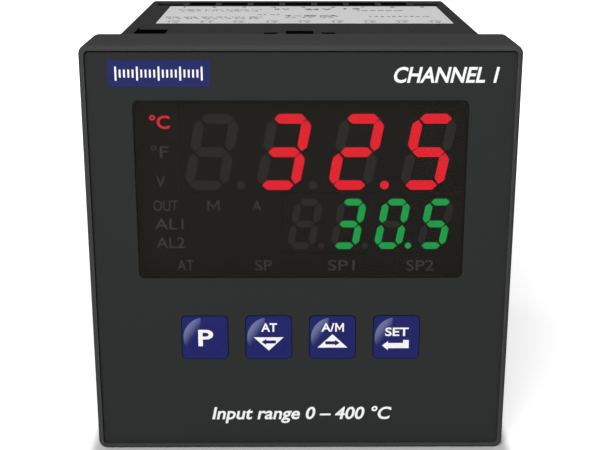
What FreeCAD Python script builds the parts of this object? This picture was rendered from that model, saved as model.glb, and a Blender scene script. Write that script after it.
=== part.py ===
import FreeCAD, Part
import math
import os

from FreeCAD import Vector

# Panel-mounting temperature controller. +Z is up, the front faces -Y, the terminals face +Y, and the
# origin is under the middle of the object. All sizes are in millimetres.

# ---------------------------------------------------------------- driving dimensions
# Bezel
FACE = 72.0                   # front width and height
FACE_RADIUS = 1.5             # corners of the front outline
RIM_ROUND = 0.8               # rounded front edge of the rim
RIM = 0.9                     # rim width around the sunk film
BEZEL_DEPTH = 13.2
BEZEL_WALL = 2.0
FRONT_WALL = 1.5
SKIRT_WALL = 1.4
SKIRT_DEPTH = 23.0            # from the front to the end of the skirt
GASKET_THICKNESS = 0.8

# Housing
OVERALL_DEPTH = 86.0
HOUSING = 67.6                # width and height
HOUSING_RADIUS = 1.0
HOUSING_WALL = 1.8
HOUSING_ENTRY = 3.0           # length of housing inside the bezel
REAR_WALL = 3.0
REAR_CHAMFER = 0.4
REAR_RIM = 1.5                # width of the rim round the sunk rear panel
REAR_RECESS = 0.3             # from the rim to the sunk rear panel

# Overlay film and display window
FILM_SETBACK = 0.5
FILM_THICKNESS = 0.35
FILM_RADIUS = 0.6
WINDOW_WIDTH = 55.2
WINDOW_HEIGHT = 30.8
WINDOW_RADIUS = 1.0
WINDOW_RISE = 11.5            # above the middle of the front
FILTER_FLANGE = 1.5           # overlap behind the front wall
FILTER_FLANGE_THICKNESS = 0.8

# Keys and their switches
KEY = 7.9
KEY_RADIUS = 0.8
KEY_PITCH = 11.08
KEY_DROP = 14.8               # below the middle of the front
KEY_PROUD = 0.1               # above the film
KEY_TRAVEL = 0.4
PAD_DIAMETER = 7.4            # raised round pad on the cap
PAD_HEIGHT = 0.12
PAD_SLOPE = 0.9               # how far the pad's side runs inward
KEY_FLANGE = 0.8              # overlap and thickness of the key's own flange
KEY_STEM = 3.6                # square stem that stands on the switch
SWITCH_BASE = 6.0
SWITCH_HEIGHT = 3.4
PLUNGER_DIAMETER = 3.4
PLUNGER_REACH = 1.4           # out of the switch at rest
PLUNGER_ROOT = 0.6            # inside the switch at rest
PLUNGER_SPACE = 0.6           # under the plunger once the key is down

# Displays: a digit's sizes are taken along the middles of its segments
CASE_DEPTH = 7.0
CASE_GAP = 0.2                # between neighbouring display cases
SLANT = 0.185                 # sideways lean for each unit of height
SEGMENT_DEPTH = 1.0
SEGMENT_GAP = 0.2
RED_DIGIT_WIDTH = 5.75
RED_DIGIT_HEIGHT = 11.44
RED_STROKE = 1.67
RED_PITCH = 12.15
RED_CENTRE = 3.27             # sideways from the middle of the front
RED_RISE = 17.56              # above the middle of the front
RED_POINT_OFFSET = 4.86       # from the digit's middle to its point
RED_POINT_RADIUS = 0.78
GREEN_DIGIT_WIDTH = 3.62
GREEN_DIGIT_HEIGHT = 7.79
GREEN_STROKE = 1.2
GREEN_PITCH = 7.47
GREEN_CENTRE = 11.94
GREEN_RISE = 4.93
GREEN_POINT_OFFSET = 2.82
GREEN_POINT_RADIUS = 0.58
POINT_SIDES = 8
RED_CASE_LEFT = -20.2
GREEN_CASE_LEFT = -3.0
CASE_SIDE = 27.9              # outer side of the display cases
RED_CASE_TOP = 25.8           # case edges above the middle of the front
RED_CASE_BOTTOM = 10.55
GREEN_CASE_BOTTOM = -0.15
LIGHT_BOX_BOTTOM = -4.6
LEGEND_SHEET_THICKNESS = 0.1
CELL_HEIGHT = 2.6
LAMP_WIDTH = 2.0
LAMP_HEIGHT = 1.25
LAMP_DEPTH = 0.8

# Indicator cells: sideways and upward from the middle of the front, and the cell's width
INDICATORS = (
    (-23.6, 22.76, 4.2),
    (-23.7, 17.66, 4.2),
    (-23.7, 12.49, 4.2),
    (-23.3, 8.24, 5.0),
    (-14.9, 8.24, 3.0),
    (-7.5, 8.24, 3.0),
    (-22.5, 4.98, 6.0),
    (-22.4, 1.61, 6.0),
    (-19.9, -2.52, 4.2),
    (-6.4, -2.52, 7.4),
    (7.0, -2.52, 9.4),
    (20.7, -2.52, 9.4),
)

# Circuit boards
BOARD_THICKNESS = 1.6
BOARD_RISE = 17.2             # from the middle of the case to the middle of each long board
BOARD_REAR_GAP = 3.0          # from the board's end to the rear wall
REST_WIDTH = 1.0
REST_LENGTH = 7.0
REST_OFFSET = 20.0
RAIL_REACH = 2.4
RAIL_THICKNESS = 1.2
RAIL_SETBACK = 2.0            # behind the bezel's skirt
HEADER_LENGTH = 25.4
HEADER_DEPTH = 2.5
HEADER_HEIGHT = 2.5
HEADER_SETBACK = 1.4          # behind the display board
PIN_COUNT = 10
PIN_PITCH = 2.54
PIN = 0.64
PIN_TAIL = 1.2                # through the far face of a board

# Terminals
WAYS = 9
TERMINAL_PITCH = 7.2
WIRE_WINDOW_RIB = 1.25
WIRE_WINDOW_LENGTH = 6.2
REAR_BAR = 3.4                # housing behind the wire windows
TERMINAL_DEPTH = 6.0
TERMINAL_FLOOR = 1.2
SCREW_INSET = 8.6             # from the housing's face to the screw
SCREW_DIAMETER = 3.0
SCREW_LENGTH = 8.0
SCREW_POCKET = 3.6            # square pocket for the screw's end
SCREW_END_SPACE = 0.8
SCREW_HEAD_DIAMETER = 5.0
SCREW_HEAD_HEIGHT = 1.8
HEAD_SIDES = 12               # flat sides of the screw's head and of its shank
SHANK_SIDES = 8
DRIVER_HOLE_DIAMETER = 5.2
CONTACT_WIDTH = 5.2
CONTACT_HEIGHT = 8.4
CONTACT_THICKNESS = 0.8
TAIL_WIDTH = 2.4
TAIL_REACH = 0.6              # through the far face of the board
WIRE_SPACE = 2.2              # between contact strip and clamp plate
CLAMP_PLATE = 5.2
CLAMP_LIP = 0.6
CLAMP_LIP_LENGTH = 0.9

# Mounting-clamp slots
CLAMP_SLOT_SIDE = 28.0        # from the middle of the case
CLAMP_SLOT_WIDTH = 6.0
CLAMP_SLOT_LENGTH = 8.8
CLAMP_SLOT_DEPTH = 29.8       # from the front to the slot
LEAD_IN_LENGTH = 2.8          # slope behind the slot
LEAD_IN_DROP = 0.4            # how far the slope has sunk at the slot

# Bezel latches
LATCH_DEPTH = 27.0            # from the front to the latch windows
LATCH_WIDTH = 5.2
LATCH_LENGTH = 7.4
SIDE_LATCH_WIDTH = 2.6
SIDE_LATCH_LENGTH = 5.1
SIDE_LATCH_OFFSET = 5.4
LATCH_ARM_WIDTH = 16.0
HOOK_HEIGHT = 1.1
HOOK_LENGTH = 2.8

# Rating label
LABEL_WIDTH = 58.8
LABEL_LENGTH = 28.8
LABEL_THICKNESS = 0.12
LABEL_SHIFT = 1.1
LABEL_DEPTH = 44.7            # from the front to the label

# Transformer
CORE_LEG = 4.0
CORE_WINDOW = 6.0
CORE_WINDOW_HEIGHT = 16.0
CORE_STACK = 12.0
CORE_X = -13.0
BOBBIN_WALL = 0.8
BOBBIN_RIM = 0.4              # beyond the winding, front and back
COIL_BUILD = 4.4

# Parts on the lower board: sideways places are taken from the middle of the case
RELAY_X = 17.5
RELAY_WIDTH = 19.0
RELAY_LENGTH = 15.5
RELAY_HEIGHT = 15.3
RELAY_EDGE = 1.0
SMOOTHING_X = -18.0
SMOOTHING_RADIUS = 6.25
SMOOTHING_HEIGHT = 20.0
SMALL_CAPACITOR_X = 19.5
SMALL_CAPACITOR_PITCH = 7.0
SMALL_CAPACITOR_RADIUS = 3.15
SMALL_CAPACITOR_HEIGHT = 7.0
FILM_CAPACITOR_X = -3.5
FILM_CAPACITOR_WIDTH = 13.0
FILM_CAPACITOR_LENGTH = 5.5
FILM_CAPACITOR_HEIGHT = 11.0
FILM_CAPACITOR_ROUND = 0.6
VARISTOR_RADIUS = 4.5
VARISTOR_THICKNESS = 3.5
FUSE_X = -23.5
FUSE_RADIUS = 4.2
FUSE_HEIGHT = 7.5
BRIDGE_X = -12.5
BRIDGE_WIDTH = 8.4
BRIDGE_LENGTH = 6.4
BRIDGE_HEIGHT = 3.2
BRIDGE_CORNER = 0.8
REGULATOR_X = 1.5
REGULATOR_WIDTH = 10.0
REGULATOR_THICKNESS = 3.2
REGULATOR_HEIGHT = 9.0
REGULATOR_TAB = 1.3           # thickness of its metal tab
REGULATOR_TAB_HEIGHT = 15.0
REGULATOR_HOLE_RADIUS = 1.8
REGULATOR_HOLE_HEIGHT = 12.0

# Parts under the upper board: lengthwise places are taken from the middle of the board
PROCESSOR_X = -8.0
PROCESSOR_SHIFT = -11.0
PROCESSOR = 12.0
PROCESSOR_HEIGHT = 1.4
PROCESSOR_CORNER = 0.7
CONVERTER_SHIFT = 7.0
CONVERTER_WIDTH = 10.3
CONVERTER_LENGTH = 7.5
CONVERTER_HEIGHT = 2.3
CRYSTAL_X = 8.0
CRYSTAL_WIDTH = 11.0
CRYSTAL_LENGTH = 4.6
CRYSTAL_HEIGHT = 3.5
CRYSTAL_ROUND = 2.2

# Fits
FILM_GAP = 0.2                # around the film
FILTER_FIT = 0.1
KEY_CLEARANCE = 0.12
KEY_PLAY = 0.3                # in front of the key's flange
PLUNGER_FIT = 0.2
SKIRT_FIT = 0.2
GASKET_FIT = 0.1
DISPLAY_AIR = 0.1             # behind the filter
BOARD_FIT = 0.2
RAIL_FIT = 0.1
EDGE_FIT = 0.4
BLOCK_FIT = 0.3
LATCH_FIT = 0.2
SCREW_FIT = 0.1               # on the diameter, measured over the corners
PIN_FIT = 0.26
BOBBIN_FIT = 0.1
TAIL_FIT = 0.4
CUT = 1.0                     # how far a cutting tool runs past a face
TOUCH = 0.000001              # two places this near are the same place

# ---------------------------------------------------------------- derived places
MID = FACE / 2
FRONT = -OVERALL_DEPTH / 2
BACK = FRONT + OVERALL_DEPTH
FILM_FRONT = FRONT + FILM_SETBACK
WALL_FRONT = FILM_FRONT + FILM_THICKNESS
WALL_BACK = WALL_FRONT + FRONT_WALL
FLANGE_BACK = FRONT + BEZEL_DEPTH
SKIRT_BACK = FRONT + SKIRT_DEPTH
FILTER_BACK = WALL_BACK + FILTER_FLANGE_THICKNESS
CASE_FRONT = FILTER_BACK + DISPLAY_AIR
BOARD_FRONT = CASE_FRONT + CASE_DEPTH
BOARD_BACK = BOARD_FRONT + BOARD_THICKNESS
HOUSING_FRONT = FLANGE_BACK - HOUSING_ENTRY
REAR_INSIDE = BACK - REAR_WALL
HOUSING_TOP = MID + HOUSING / 2
INSIDE = HOUSING - 2 * HOUSING_WALL
SKIRT = INSIDE - 2 * SKIRT_FIT
SKIRT_INSIDE = SKIRT - 2 * SKIRT_WALL
RECESS = FACE - 2 * RIM
CAVITY = FACE - 2 * BEZEL_WALL
WINDOW_Z = MID + WINDOW_RISE
KEY_Z = MID - KEY_DROP
KEY_NAMES = ("program", "down", "up", "set")
UPPER_BOARD_BOTTOM = MID + BOARD_RISE - BOARD_THICKNESS / 2
UPPER_BOARD_TOP = UPPER_BOARD_BOTTOM + BOARD_THICKNESS
LONG_BOARD_FRONT = BOARD_BACK + BOARD_FIT
LONG_BOARD_BACK = REAR_INSIDE - BOARD_REAR_GAP
WIRE_WINDOW_BACK = BACK - REAR_BAR
WIRE_WINDOW_FRONT = WIRE_WINDOW_BACK - WIRE_WINDOW_LENGTH
WIRE_WINDOW_WIDTH = TERMINAL_PITCH - WIRE_WINDOW_RIB
BLOCK_FRONT = WIRE_WINDOW_FRONT - TERMINAL_DEPTH
BLOCK_TOP = MID + INSIDE / 2 - BLOCK_FIT
SCREW_Z = HOUSING_TOP - SCREW_INSET
CLAMP_FRONT = WIRE_WINDOW_FRONT + CONTACT_THICKNESS + WIRE_SPACE
HEAD_FRONT = CLAMP_FRONT + CONTACT_THICKNESS
LOWER_BOARD_TOP = 2 * MID - UPPER_BOARD_BOTTOM

# Rows of parts share the free length of the lower board between the header and the terminals
PARTS_FRONT = BOARD_BACK + HEADER_SETBACK + HEADER_DEPTH
PARTS_LENGTH = BLOCK_FRONT - PARTS_FRONT
COIL_LENGTH = CORE_STACK + 2 * (BOBBIN_FIT + BOBBIN_WALL + COIL_BUILD)
TRANSFORMER_LENGTH = COIL_LENGTH + 2 * BOBBIN_RIM
ROW_GAP = (PARTS_LENGTH - 2 * FUSE_RADIUS - TRANSFORMER_LENGTH - 2 * SMOOTHING_RADIUS) / 4
FRONT_ROW_Y = PARTS_FRONT + ROW_GAP + FUSE_RADIUS
FRONT_ROW_BACK = FRONT_ROW_Y + FUSE_RADIUS
CORE_Y = FRONT_ROW_BACK + ROW_GAP + TRANSFORMER_LENGTH / 2
REAR_ROW_BACK = BLOCK_FRONT - ROW_GAP
REAR_ROW_FRONT = REAR_ROW_BACK - 2 * SMOOTHING_RADIUS
RELAY_GAP = (BLOCK_FRONT - FRONT_ROW_BACK - 2 * RELAY_LENGTH) / 3
FRONT_RELAY_Y = FRONT_ROW_BACK + RELAY_GAP + RELAY_LENGTH / 2
REAR_RELAY_Y = FRONT_RELAY_Y + RELAY_LENGTH + RELAY_GAP
UPPER_BOARD_MIDDLE = (LONG_BOARD_FRONT + LONG_BOARD_BACK) / 2


# ---------------------------------------------------------------- helpers
def box(x0, x1, y0, y1, z0, z1):
    return Part.makeBox(x1 - x0, y1 - y0, z1 - z0, Vector(x0, y0, z0))


def rod(radius, length, x, y, z):
    """A cylinder along +Y that starts at (x, y, z)."""
    return Part.makeCylinder(radius, length, Vector(x, y, z), Vector(0, 1, 0))


def post(radius, length, x, y, z):
    """A cylinder along +Z that starts at (x, y, z)."""
    return Part.makeCylinder(radius, length, Vector(x, y, z))


def edges_along_y(shape):
    return [edge for edge in shape.Edges if abs(edge.tangentAt(edge.FirstParameter).y) > 0.99]


def edges_at_y(shape, y):
    limits = [(edge, edge.BoundBox) for edge in shape.Edges]
    return [edge for edge, reach in limits if abs(reach.YMin - y) < TOUCH and abs(reach.YMax - y) < TOUCH]


def plate(width, height, radius, y0, y1, x=0.0, z=MID):
    """A slab facing -Y with rounded corners."""
    body = box(x - width / 2, x + width / 2, y0, y1, z - height / 2, z + height / 2)
    return body.makeFillet(radius, edges_along_y(body))


def block(width, height, y0, y1, x=0.0, z=MID):
    """A slab facing -Y with square corners."""
    return box(x - width / 2, x + width / 2, y0, y1, z - height / 2, z + height / 2)


def prism(points, y0, y1):
    """A slab facing -Y with its outline given as (x, z) points."""
    corners = [Vector(x, y0, z) for x, z in points]
    outline = Part.makePolygon(corners + corners[:1])
    return Part.Face(outline).extrude(Vector(0, y1 - y0, 0))


def sided_rod(sides, diameter, y0, y1, x, z):
    """A rod along Y with flat sides, lying on one of them, its diameter measured over the corners."""
    turns = [(side + 0.5) * 2 * math.pi / sides for side in range(sides)]
    radius = diameter / 2
    return prism([(x + radius * math.cos(turn), z + radius * math.sin(turn)) for turn in turns], y0, y1)


def upright_edges(shape):
    return [edge for edge in shape.Edges if abs(edge.tangentAt(edge.FirstParameter).z) > 0.99]


def mirrored(shape):
    """The same shape on the other side of the middle height."""
    return shape.mirror(Vector(0, 0, MID), Vector(0, 0, 1))


def turned(shape):
    """The shape half a turn round the case's long axis."""
    copy = shape.copy()
    copy.rotate(Vector(0, 0, MID), Vector(0, 1, 0), 180)
    return copy


def both_sides(shapes):
    return shapes + [mirrored(shape) for shape in shapes]


def way_places():
    return [(way - (WAYS - 1) / 2) * TERMINAL_PITCH for way in range(WAYS)]


def key_places():
    return [(place - 1.5) * KEY_PITCH for place in range(len(KEY_NAMES))]


def pin_places():
    return [(pin - (PIN_COUNT - 1) / 2) * PIN_PITCH for pin in range(PIN_COUNT)]


def save(name, *solids):
    shape = solids[0] if len(solids) == 1 else Part.makeCompound(list(solids))
    shape.exportStep("parts/" + name + ".step")


# ---------------------------------------------------------------- housing
def wire_windows():
    half = WIRE_WINDOW_WIDTH / 2
    inside_top = MID + INSIDE / 2
    return [
        box(x - half, x + half, WIRE_WINDOW_FRONT, WIRE_WINDOW_BACK, inside_top - CUT, HOUSING_TOP + CUT)
        for x in way_places()
    ]


def driver_holes():
    radius = DRIVER_HOLE_DIAMETER / 2
    return [rod(radius, REAR_WALL + 2 * CUT, x, REAR_INSIDE - CUT, SCREW_Z) for x in way_places()]


def latch_openings(fit=0.0):
    """Spaces of the middle latch and the two side latches, narrowed by a fit."""
    bottom = MID + INSIDE / 2 - CUT
    top = HOUSING_TOP + CUT
    front = FRONT + LATCH_DEPTH + fit
    half = LATCH_WIDTH / 2 - fit
    side_half = SIDE_LATCH_WIDTH / 2 - fit
    spaces = [box(-half, half, front, FRONT + LATCH_DEPTH + LATCH_LENGTH - fit, bottom, top)]
    for x in (-SIDE_LATCH_OFFSET, SIDE_LATCH_OFFSET):
        back = FRONT + LATCH_DEPTH + SIDE_LATCH_LENGTH - fit
        spaces.append(box(x - side_half, x + side_half, front, back, bottom, top))
    return spaces


def clamp_slot():
    """Space that a mounting clamp hooks into, on the top left, with a slope that leads into it."""
    left = -CLAMP_SLOT_SIDE - CLAMP_SLOT_WIDTH / 2
    front = FRONT + CLAMP_SLOT_DEPTH
    back = front + CLAMP_SLOT_LENGTH
    corners = [
        Vector(left, front, MID + INSIDE / 2 - CUT),
        Vector(left, front, HOUSING_TOP + CUT),
        Vector(left, back + LEAD_IN_LENGTH, HOUSING_TOP + CUT),
        Vector(left, back + LEAD_IN_LENGTH, HOUSING_TOP),
        Vector(left, back, HOUSING_TOP - LEAD_IN_DROP),
        Vector(left, back, MID + INSIDE / 2 - CUT),
    ]
    side = Part.Face(Part.makePolygon(corners + corners[:1]))
    return side.extrude(Vector(CLAMP_SLOT_WIDTH, 0, 0))


def board_rails():
    """Two pairs of guides for the upper board, one pair on each side wall."""
    front = SKIRT_BACK + RAIL_SETBACK
    back = BLOCK_FRONT - RAIL_SETBACK
    rails = []
    for bottom in (UPPER_BOARD_BOTTOM - RAIL_FIT - RAIL_THICKNESS, UPPER_BOARD_TOP + RAIL_FIT):
        top = bottom + RAIL_THICKNESS
        wall = INSIDE / 2 + HOUSING_WALL / 2
        rails.append(box(-wall, RAIL_REACH - INSIDE / 2, front, back, bottom, top))
        rails.append(box(INSIDE / 2 - RAIL_REACH, wall, front, back, bottom, top))
    return rails


def rear_housing():
    body = plate(HOUSING, HOUSING, HOUSING_RADIUS, HOUSING_FRONT, BACK)
    body = body.makeChamfer(REAR_CHAMFER, edges_at_y(body, BACK))
    half = INSIDE / 2
    body = body.cut(box(-half, half, HOUSING_FRONT - CUT, REAR_INSIDE, MID - half, MID + half))
    body = body.fuse(both_sides(board_rails())).removeSplitter()
    panel = HOUSING - 2 * REAR_RIM
    body = body.cut(block(panel, panel, BACK - REAR_RECESS, BACK + CUT))
    removed = both_sides(wire_windows() + driver_holes() + latch_openings())
    return body.cut(removed + [clamp_slot(), turned(clamp_slot())])


# ---------------------------------------------------------------- bezel, gasket, film, filter
def key_size():
    """Width of the openings that the keys move in."""
    return KEY + 2 * KEY_CLEARANCE


def latch_arm():
    """Spring tongue that carries the three hooks, on the top of the skirt."""
    top = MID + SKIRT / 2
    half = LATCH_ARM_WIDTH / 2
    front = FRONT + LATCH_DEPTH + LATCH_FIT
    back = front + HOOK_LENGTH
    arm = box(-half, half, SKIRT_BACK - SKIRT_WALL, back, top - SKIRT_WALL, top)
    hooks = []
    for space in latch_openings(LATCH_FIT):
        limits = space.BoundBox
        corners = [
            Vector(limits.XMin, front, top - SKIRT_WALL / 2),
            Vector(limits.XMin, front, top + HOOK_HEIGHT),
            Vector(limits.XMin, (front + back) / 2, top + HOOK_HEIGHT),
            Vector(limits.XMin, back, top),
            Vector(limits.XMin, back, top - SKIRT_WALL / 2),
        ]
        side = Part.Face(Part.makePolygon(corners + corners[:1]))
        hooks.append(side.extrude(Vector(limits.XLength, 0, 0)))
    return arm.fuse(hooks)


def board_rests():
    """Ribs inside the skirt that the display board seats on."""
    outer = SKIRT_INSIDE / 2 + SKIRT_WALL / 2
    inner = SKIRT_INSIDE / 2 - REST_WIDTH
    rests = []
    for z in (MID - REST_OFFSET, MID + REST_OFFSET):
        bottom = z - REST_LENGTH / 2
        top = z + REST_LENGTH / 2
        rests.append(box(-outer, -inner, WALL_BACK, BOARD_FRONT, bottom, top))
        rests.append(box(inner, outer, WALL_BACK, BOARD_FRONT, bottom, top))
    return rests


def front_bezel():
    body = plate(FACE, FACE, FACE_RADIUS, FRONT, FLANGE_BACK)
    body = body.makeFillet(RIM_ROUND, edges_at_y(body, FRONT))
    body = body.cut(plate(RECESS, RECESS, FILM_RADIUS + FILM_GAP, FRONT - CUT, WALL_FRONT))
    body = body.cut(block(CAVITY, CAVITY, WALL_BACK, FLANGE_BACK + CUT))
    skirt = block(SKIRT, SKIRT, WALL_FRONT, SKIRT_BACK)
    skirt = skirt.makeChamfer(SKIRT_WALL / 2, edges_along_y(skirt))
    skirt = skirt.cut(block(SKIRT_INSIDE, SKIRT_INSIDE, WALL_FRONT - CUT, SKIRT_BACK + CUT))
    body = body.fuse([skirt, latch_arm(), mirrored(latch_arm())] + board_rests())
    front = WALL_FRONT - CUT
    back = WALL_BACK + CUT
    holes = [block(key_size(), key_size(), front, back, x, KEY_Z) for x in key_places()]
    holes.append(block(WINDOW_WIDTH, WINDOW_HEIGHT, front, back, 0.0, WINDOW_Z))
    return body.cut(holes).removeSplitter()


def panel_gasket():
    outer = FACE - 2 * GASKET_FIT
    inner = CAVITY + 2 * GASKET_FIT
    back = FLANGE_BACK + GASKET_THICKNESS
    ring = plate(outer, outer, FACE_RADIUS, FLANGE_BACK, back)
    return ring.cut(block(inner, inner, FLANGE_BACK - CUT, back + CUT))


def overlay_film():
    size = RECESS - 2 * FILM_GAP
    film = plate(size, size, FILM_RADIUS, FILM_FRONT, WALL_FRONT)
    front = FILM_FRONT - CUT
    back = WALL_FRONT + CUT
    radius = KEY_RADIUS + KEY_CLEARANCE
    holes = [plate(key_size(), key_size(), radius, front, back, x, KEY_Z) for x in key_places()]
    holes.append(plate(WINDOW_WIDTH, WINDOW_HEIGHT, WINDOW_RADIUS, front, back, 0.0, WINDOW_Z))
    return film.cut(holes)


def display_filter():
    width = WINDOW_WIDTH - 2 * FILTER_FIT
    height = WINDOW_HEIGHT - 2 * FILTER_FIT
    boss = plate(width, height, WINDOW_RADIUS - FILTER_FIT, FILM_FRONT, WALL_BACK, 0.0, WINDOW_Z)
    flange_width = WINDOW_WIDTH + 2 * FILTER_FLANGE
    flange_height = WINDOW_HEIGHT + 2 * FILTER_FLANGE
    return boss.fuse(block(flange_width, flange_height, WALL_BACK, FILTER_BACK, 0.0, WINDOW_Z))


# ---------------------------------------------------------------- keys and switches
def key(x):
    """Square cap with a raised pad, a flange behind the front wall and a stem on its switch."""
    cap_front = FILM_FRONT - KEY_PROUD
    flange_front = WALL_BACK + KEY_PLAY
    flange_back = flange_front + KEY_FLANGE
    cap = plate(KEY, KEY, KEY_RADIUS, cap_front, flange_front, x, KEY_Z)
    radius = PAD_DIAMETER / 2
    foot = Vector(x, cap_front, KEY_Z)
    pad = Part.makeCone(radius, radius - PAD_SLOPE, PAD_HEIGHT, foot, Vector(0, -1, 0))
    size = KEY + 2 * KEY_FLANGE
    flange = block(size, size, flange_front, flange_back, x, KEY_Z)
    stem = block(KEY_STEM, KEY_STEM, flange_back, plunger_front(), x, KEY_Z)
    return cap.fuse([pad, flange, stem]).removeSplitter()


def plunger_front():
    return BOARD_FRONT - SWITCH_HEIGHT - PLUNGER_REACH


def switch_plunger(x):
    return rod(PLUNGER_DIAMETER / 2, PLUNGER_REACH + PLUNGER_ROOT, x, plunger_front(), KEY_Z)


def switch_base(x):
    front = BOARD_FRONT - SWITCH_HEIGHT
    body = block(SWITCH_BASE, SWITCH_BASE, front, BOARD_FRONT, x, KEY_Z)
    depth = PLUNGER_ROOT + KEY_TRAVEL + PLUNGER_SPACE
    return body.cut(rod(PLUNGER_DIAMETER / 2 + PLUNGER_FIT, depth + CUT, x, front - CUT, KEY_Z))


# ---------------------------------------------------------------- displays
def bar(start, end, stroke, y0, y1):
    """A straight segment with pointed ends between two (x, z) points."""
    run = Vector(end[0] - start[0], 0, end[1] - start[1])
    run.normalize()
    side = Vector(-run.z, 0, run.x)
    half = stroke / 2
    first = Vector(start[0], y0, start[1]) + run * SEGMENT_GAP
    last = Vector(end[0], y0, end[1]) - run * SEGMENT_GAP
    corners = [
        first,
        first + run * half + side * half,
        last - run * half + side * half,
        last,
        last - run * half - side * half,
        first + run * half - side * half,
    ]
    outline = Part.makePolygon(corners + corners[:1])
    return Part.Face(outline).extrude(Vector(0, y1 - y0, 0))


def digit(x, z, width, height, stroke):
    """The seven segments of a digit by letter, a at the top, round to f, then g across the middle."""
    lean = SLANT * height / 2
    top_left = (x - width / 2 + lean, z + height / 2)
    top_right = (x + width / 2 + lean, z + height / 2)
    left = (x - width / 2, z)
    right = (x + width / 2, z)
    bottom_left = (x - width / 2 - lean, z - height / 2)
    bottom_right = (x + width / 2 - lean, z - height / 2)
    runs = {
        "a": (top_left, top_right),
        "b": (top_right, right),
        "c": (right, bottom_right),
        "d": (bottom_left, bottom_right),
        "e": (left, bottom_left),
        "f": (top_left, left),
        "g": (left, right),
    }
    back = CASE_FRONT + SEGMENT_DEPTH
    return {name: bar(run[0], run[1], stroke, CASE_FRONT, back) for name, run in runs.items()}


def display(centre, rise, pitch, width, height, stroke, point_offset, point_radius, lit):
    """Lit and dark segments. Each entry of lit names one digit's lit segments, with . for its point."""
    shining = []
    resting = []
    z = MID + rise
    for place, letters in enumerate(lit):
        x = centre + (place - (len(lit) - 1) / 2) * pitch
        parts = digit(x, z, width, height, stroke)
        if place < len(lit) - 1:
            back = CASE_FRONT + SEGMENT_DEPTH
            foot = z - height / 2
            parts["."] = sided_rod(POINT_SIDES, 2 * point_radius, CASE_FRONT, back, x + point_offset, foot)
        for name, solid in parts.items():
            chosen = shining if name in letters else resting
            chosen.append(solid)
    return shining, resting


def red_display():
    return display(
        RED_CENTRE, RED_RISE, RED_PITCH, RED_DIGIT_WIDTH, RED_DIGIT_HEIGHT, RED_STROKE,
        RED_POINT_OFFSET, RED_POINT_RADIUS, ("", "abgcd", "abged.", "afgcd"),
    )


def green_display():
    return display(
        GREEN_CENTRE, GREEN_RISE, GREEN_PITCH, GREEN_DIGIT_WIDTH, GREEN_DIGIT_HEIGHT, GREEN_STROKE,
        GREEN_POINT_OFFSET, GREEN_POINT_RADIUS, ("", "abgcd", "abcdef.", "afgcd"),
    )


def red_case():
    return box(RED_CASE_LEFT, CASE_SIDE, CASE_FRONT, BOARD_FRONT, MID + RED_CASE_BOTTOM, MID + RED_CASE_TOP)


def green_case():
    top = MID + RED_CASE_BOTTOM - CASE_GAP
    return box(GREEN_CASE_LEFT, CASE_SIDE, CASE_FRONT, BOARD_FRONT, MID + GREEN_CASE_BOTTOM, top)


def light_box_outline():
    """Stepped outline beside and under the two displays."""
    right = RED_CASE_LEFT - CASE_GAP
    inner = GREEN_CASE_LEFT - CASE_GAP
    upper = MID + RED_CASE_BOTTOM - CASE_GAP
    lower = MID + GREEN_CASE_BOTTOM - CASE_GAP
    bottom = MID + LIGHT_BOX_BOTTOM
    top = MID + RED_CASE_TOP
    return [
        (-CASE_SIDE, bottom), (CASE_SIDE, bottom), (CASE_SIDE, lower), (inner, lower),
        (inner, upper), (right, upper), (right, top), (-CASE_SIDE, top),
    ]


def legend_sheet():
    return prism(light_box_outline(), CASE_FRONT, CASE_FRONT + LEGEND_SHEET_THICKNESS)


def indicator_light_box():
    front = CASE_FRONT + LEGEND_SHEET_THICKNESS
    body = prism(light_box_outline(), front, BOARD_FRONT)
    cells = []
    for x, rise, width in INDICATORS:
        bottom = MID + rise - CELL_HEIGHT / 2
        left = x - width / 2
        cells.append(box(left, left + width, front - CUT, BOARD_FRONT + CUT, bottom, bottom + CELL_HEIGHT))
    return body.cut(cells)


def indicator_lamps():
    front = BOARD_FRONT - LAMP_DEPTH
    return [
        block(LAMP_WIDTH, LAMP_HEIGHT, front, BOARD_FRONT, x, MID + rise) for x, rise, _ in INDICATORS
    ]


# ---------------------------------------------------------------- circuit boards
def pin_level():
    """Height of the upper header's level pins."""
    return UPPER_BOARD_BOTTOM - HEADER_HEIGHT / 2


def header_centre():
    """Place of the header's middle, front to back."""
    return BOARD_BACK + HEADER_SETBACK + HEADER_DEPTH / 2


def display_board():
    size = SKIRT_INSIDE - 2 * BOARD_FIT
    board = block(size, size, BOARD_FRONT, BOARD_BACK)
    hole = PIN + PIN_FIT
    holes = [block(hole, hole, BOARD_FRONT - CUT, BOARD_BACK + CUT, x, pin_level()) for x in pin_places()]
    return board.cut(both_sides(holes))


def upper_board():
    """Long board: its front part passes through the skirt, its rear part runs in the rails."""
    front_half = SKIRT_INSIDE / 2 - EDGE_FIT
    rear_half = INSIDE / 2 - EDGE_FIT
    shoulder = SKIRT_BACK + RAIL_SETBACK / 2
    narrow = box(-front_half, front_half, LONG_BOARD_FRONT, shoulder, UPPER_BOARD_BOTTOM, UPPER_BOARD_TOP)
    wide = box(-rear_half, rear_half, shoulder, LONG_BOARD_BACK, UPPER_BOARD_BOTTOM, UPPER_BOARD_TOP)
    board = narrow.fuse(wide).removeSplitter()
    half = (PIN + PIN_FIT) / 2
    y = header_centre()
    holes = [
        box(x - half, x + half, y - half, y + half, UPPER_BOARD_BOTTOM - CUT, UPPER_BOARD_TOP + CUT)
        for x in pin_places()
    ]
    return board.cut(holes + tail_slots())


def header():
    half = HEADER_LENGTH / 2
    front = BOARD_BACK + HEADER_SETBACK
    z = UPPER_BOARD_BOTTOM
    body = box(-half, half, front, front + HEADER_DEPTH, z - HEADER_HEIGHT, z)
    return body.cut(header_pins())


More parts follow.
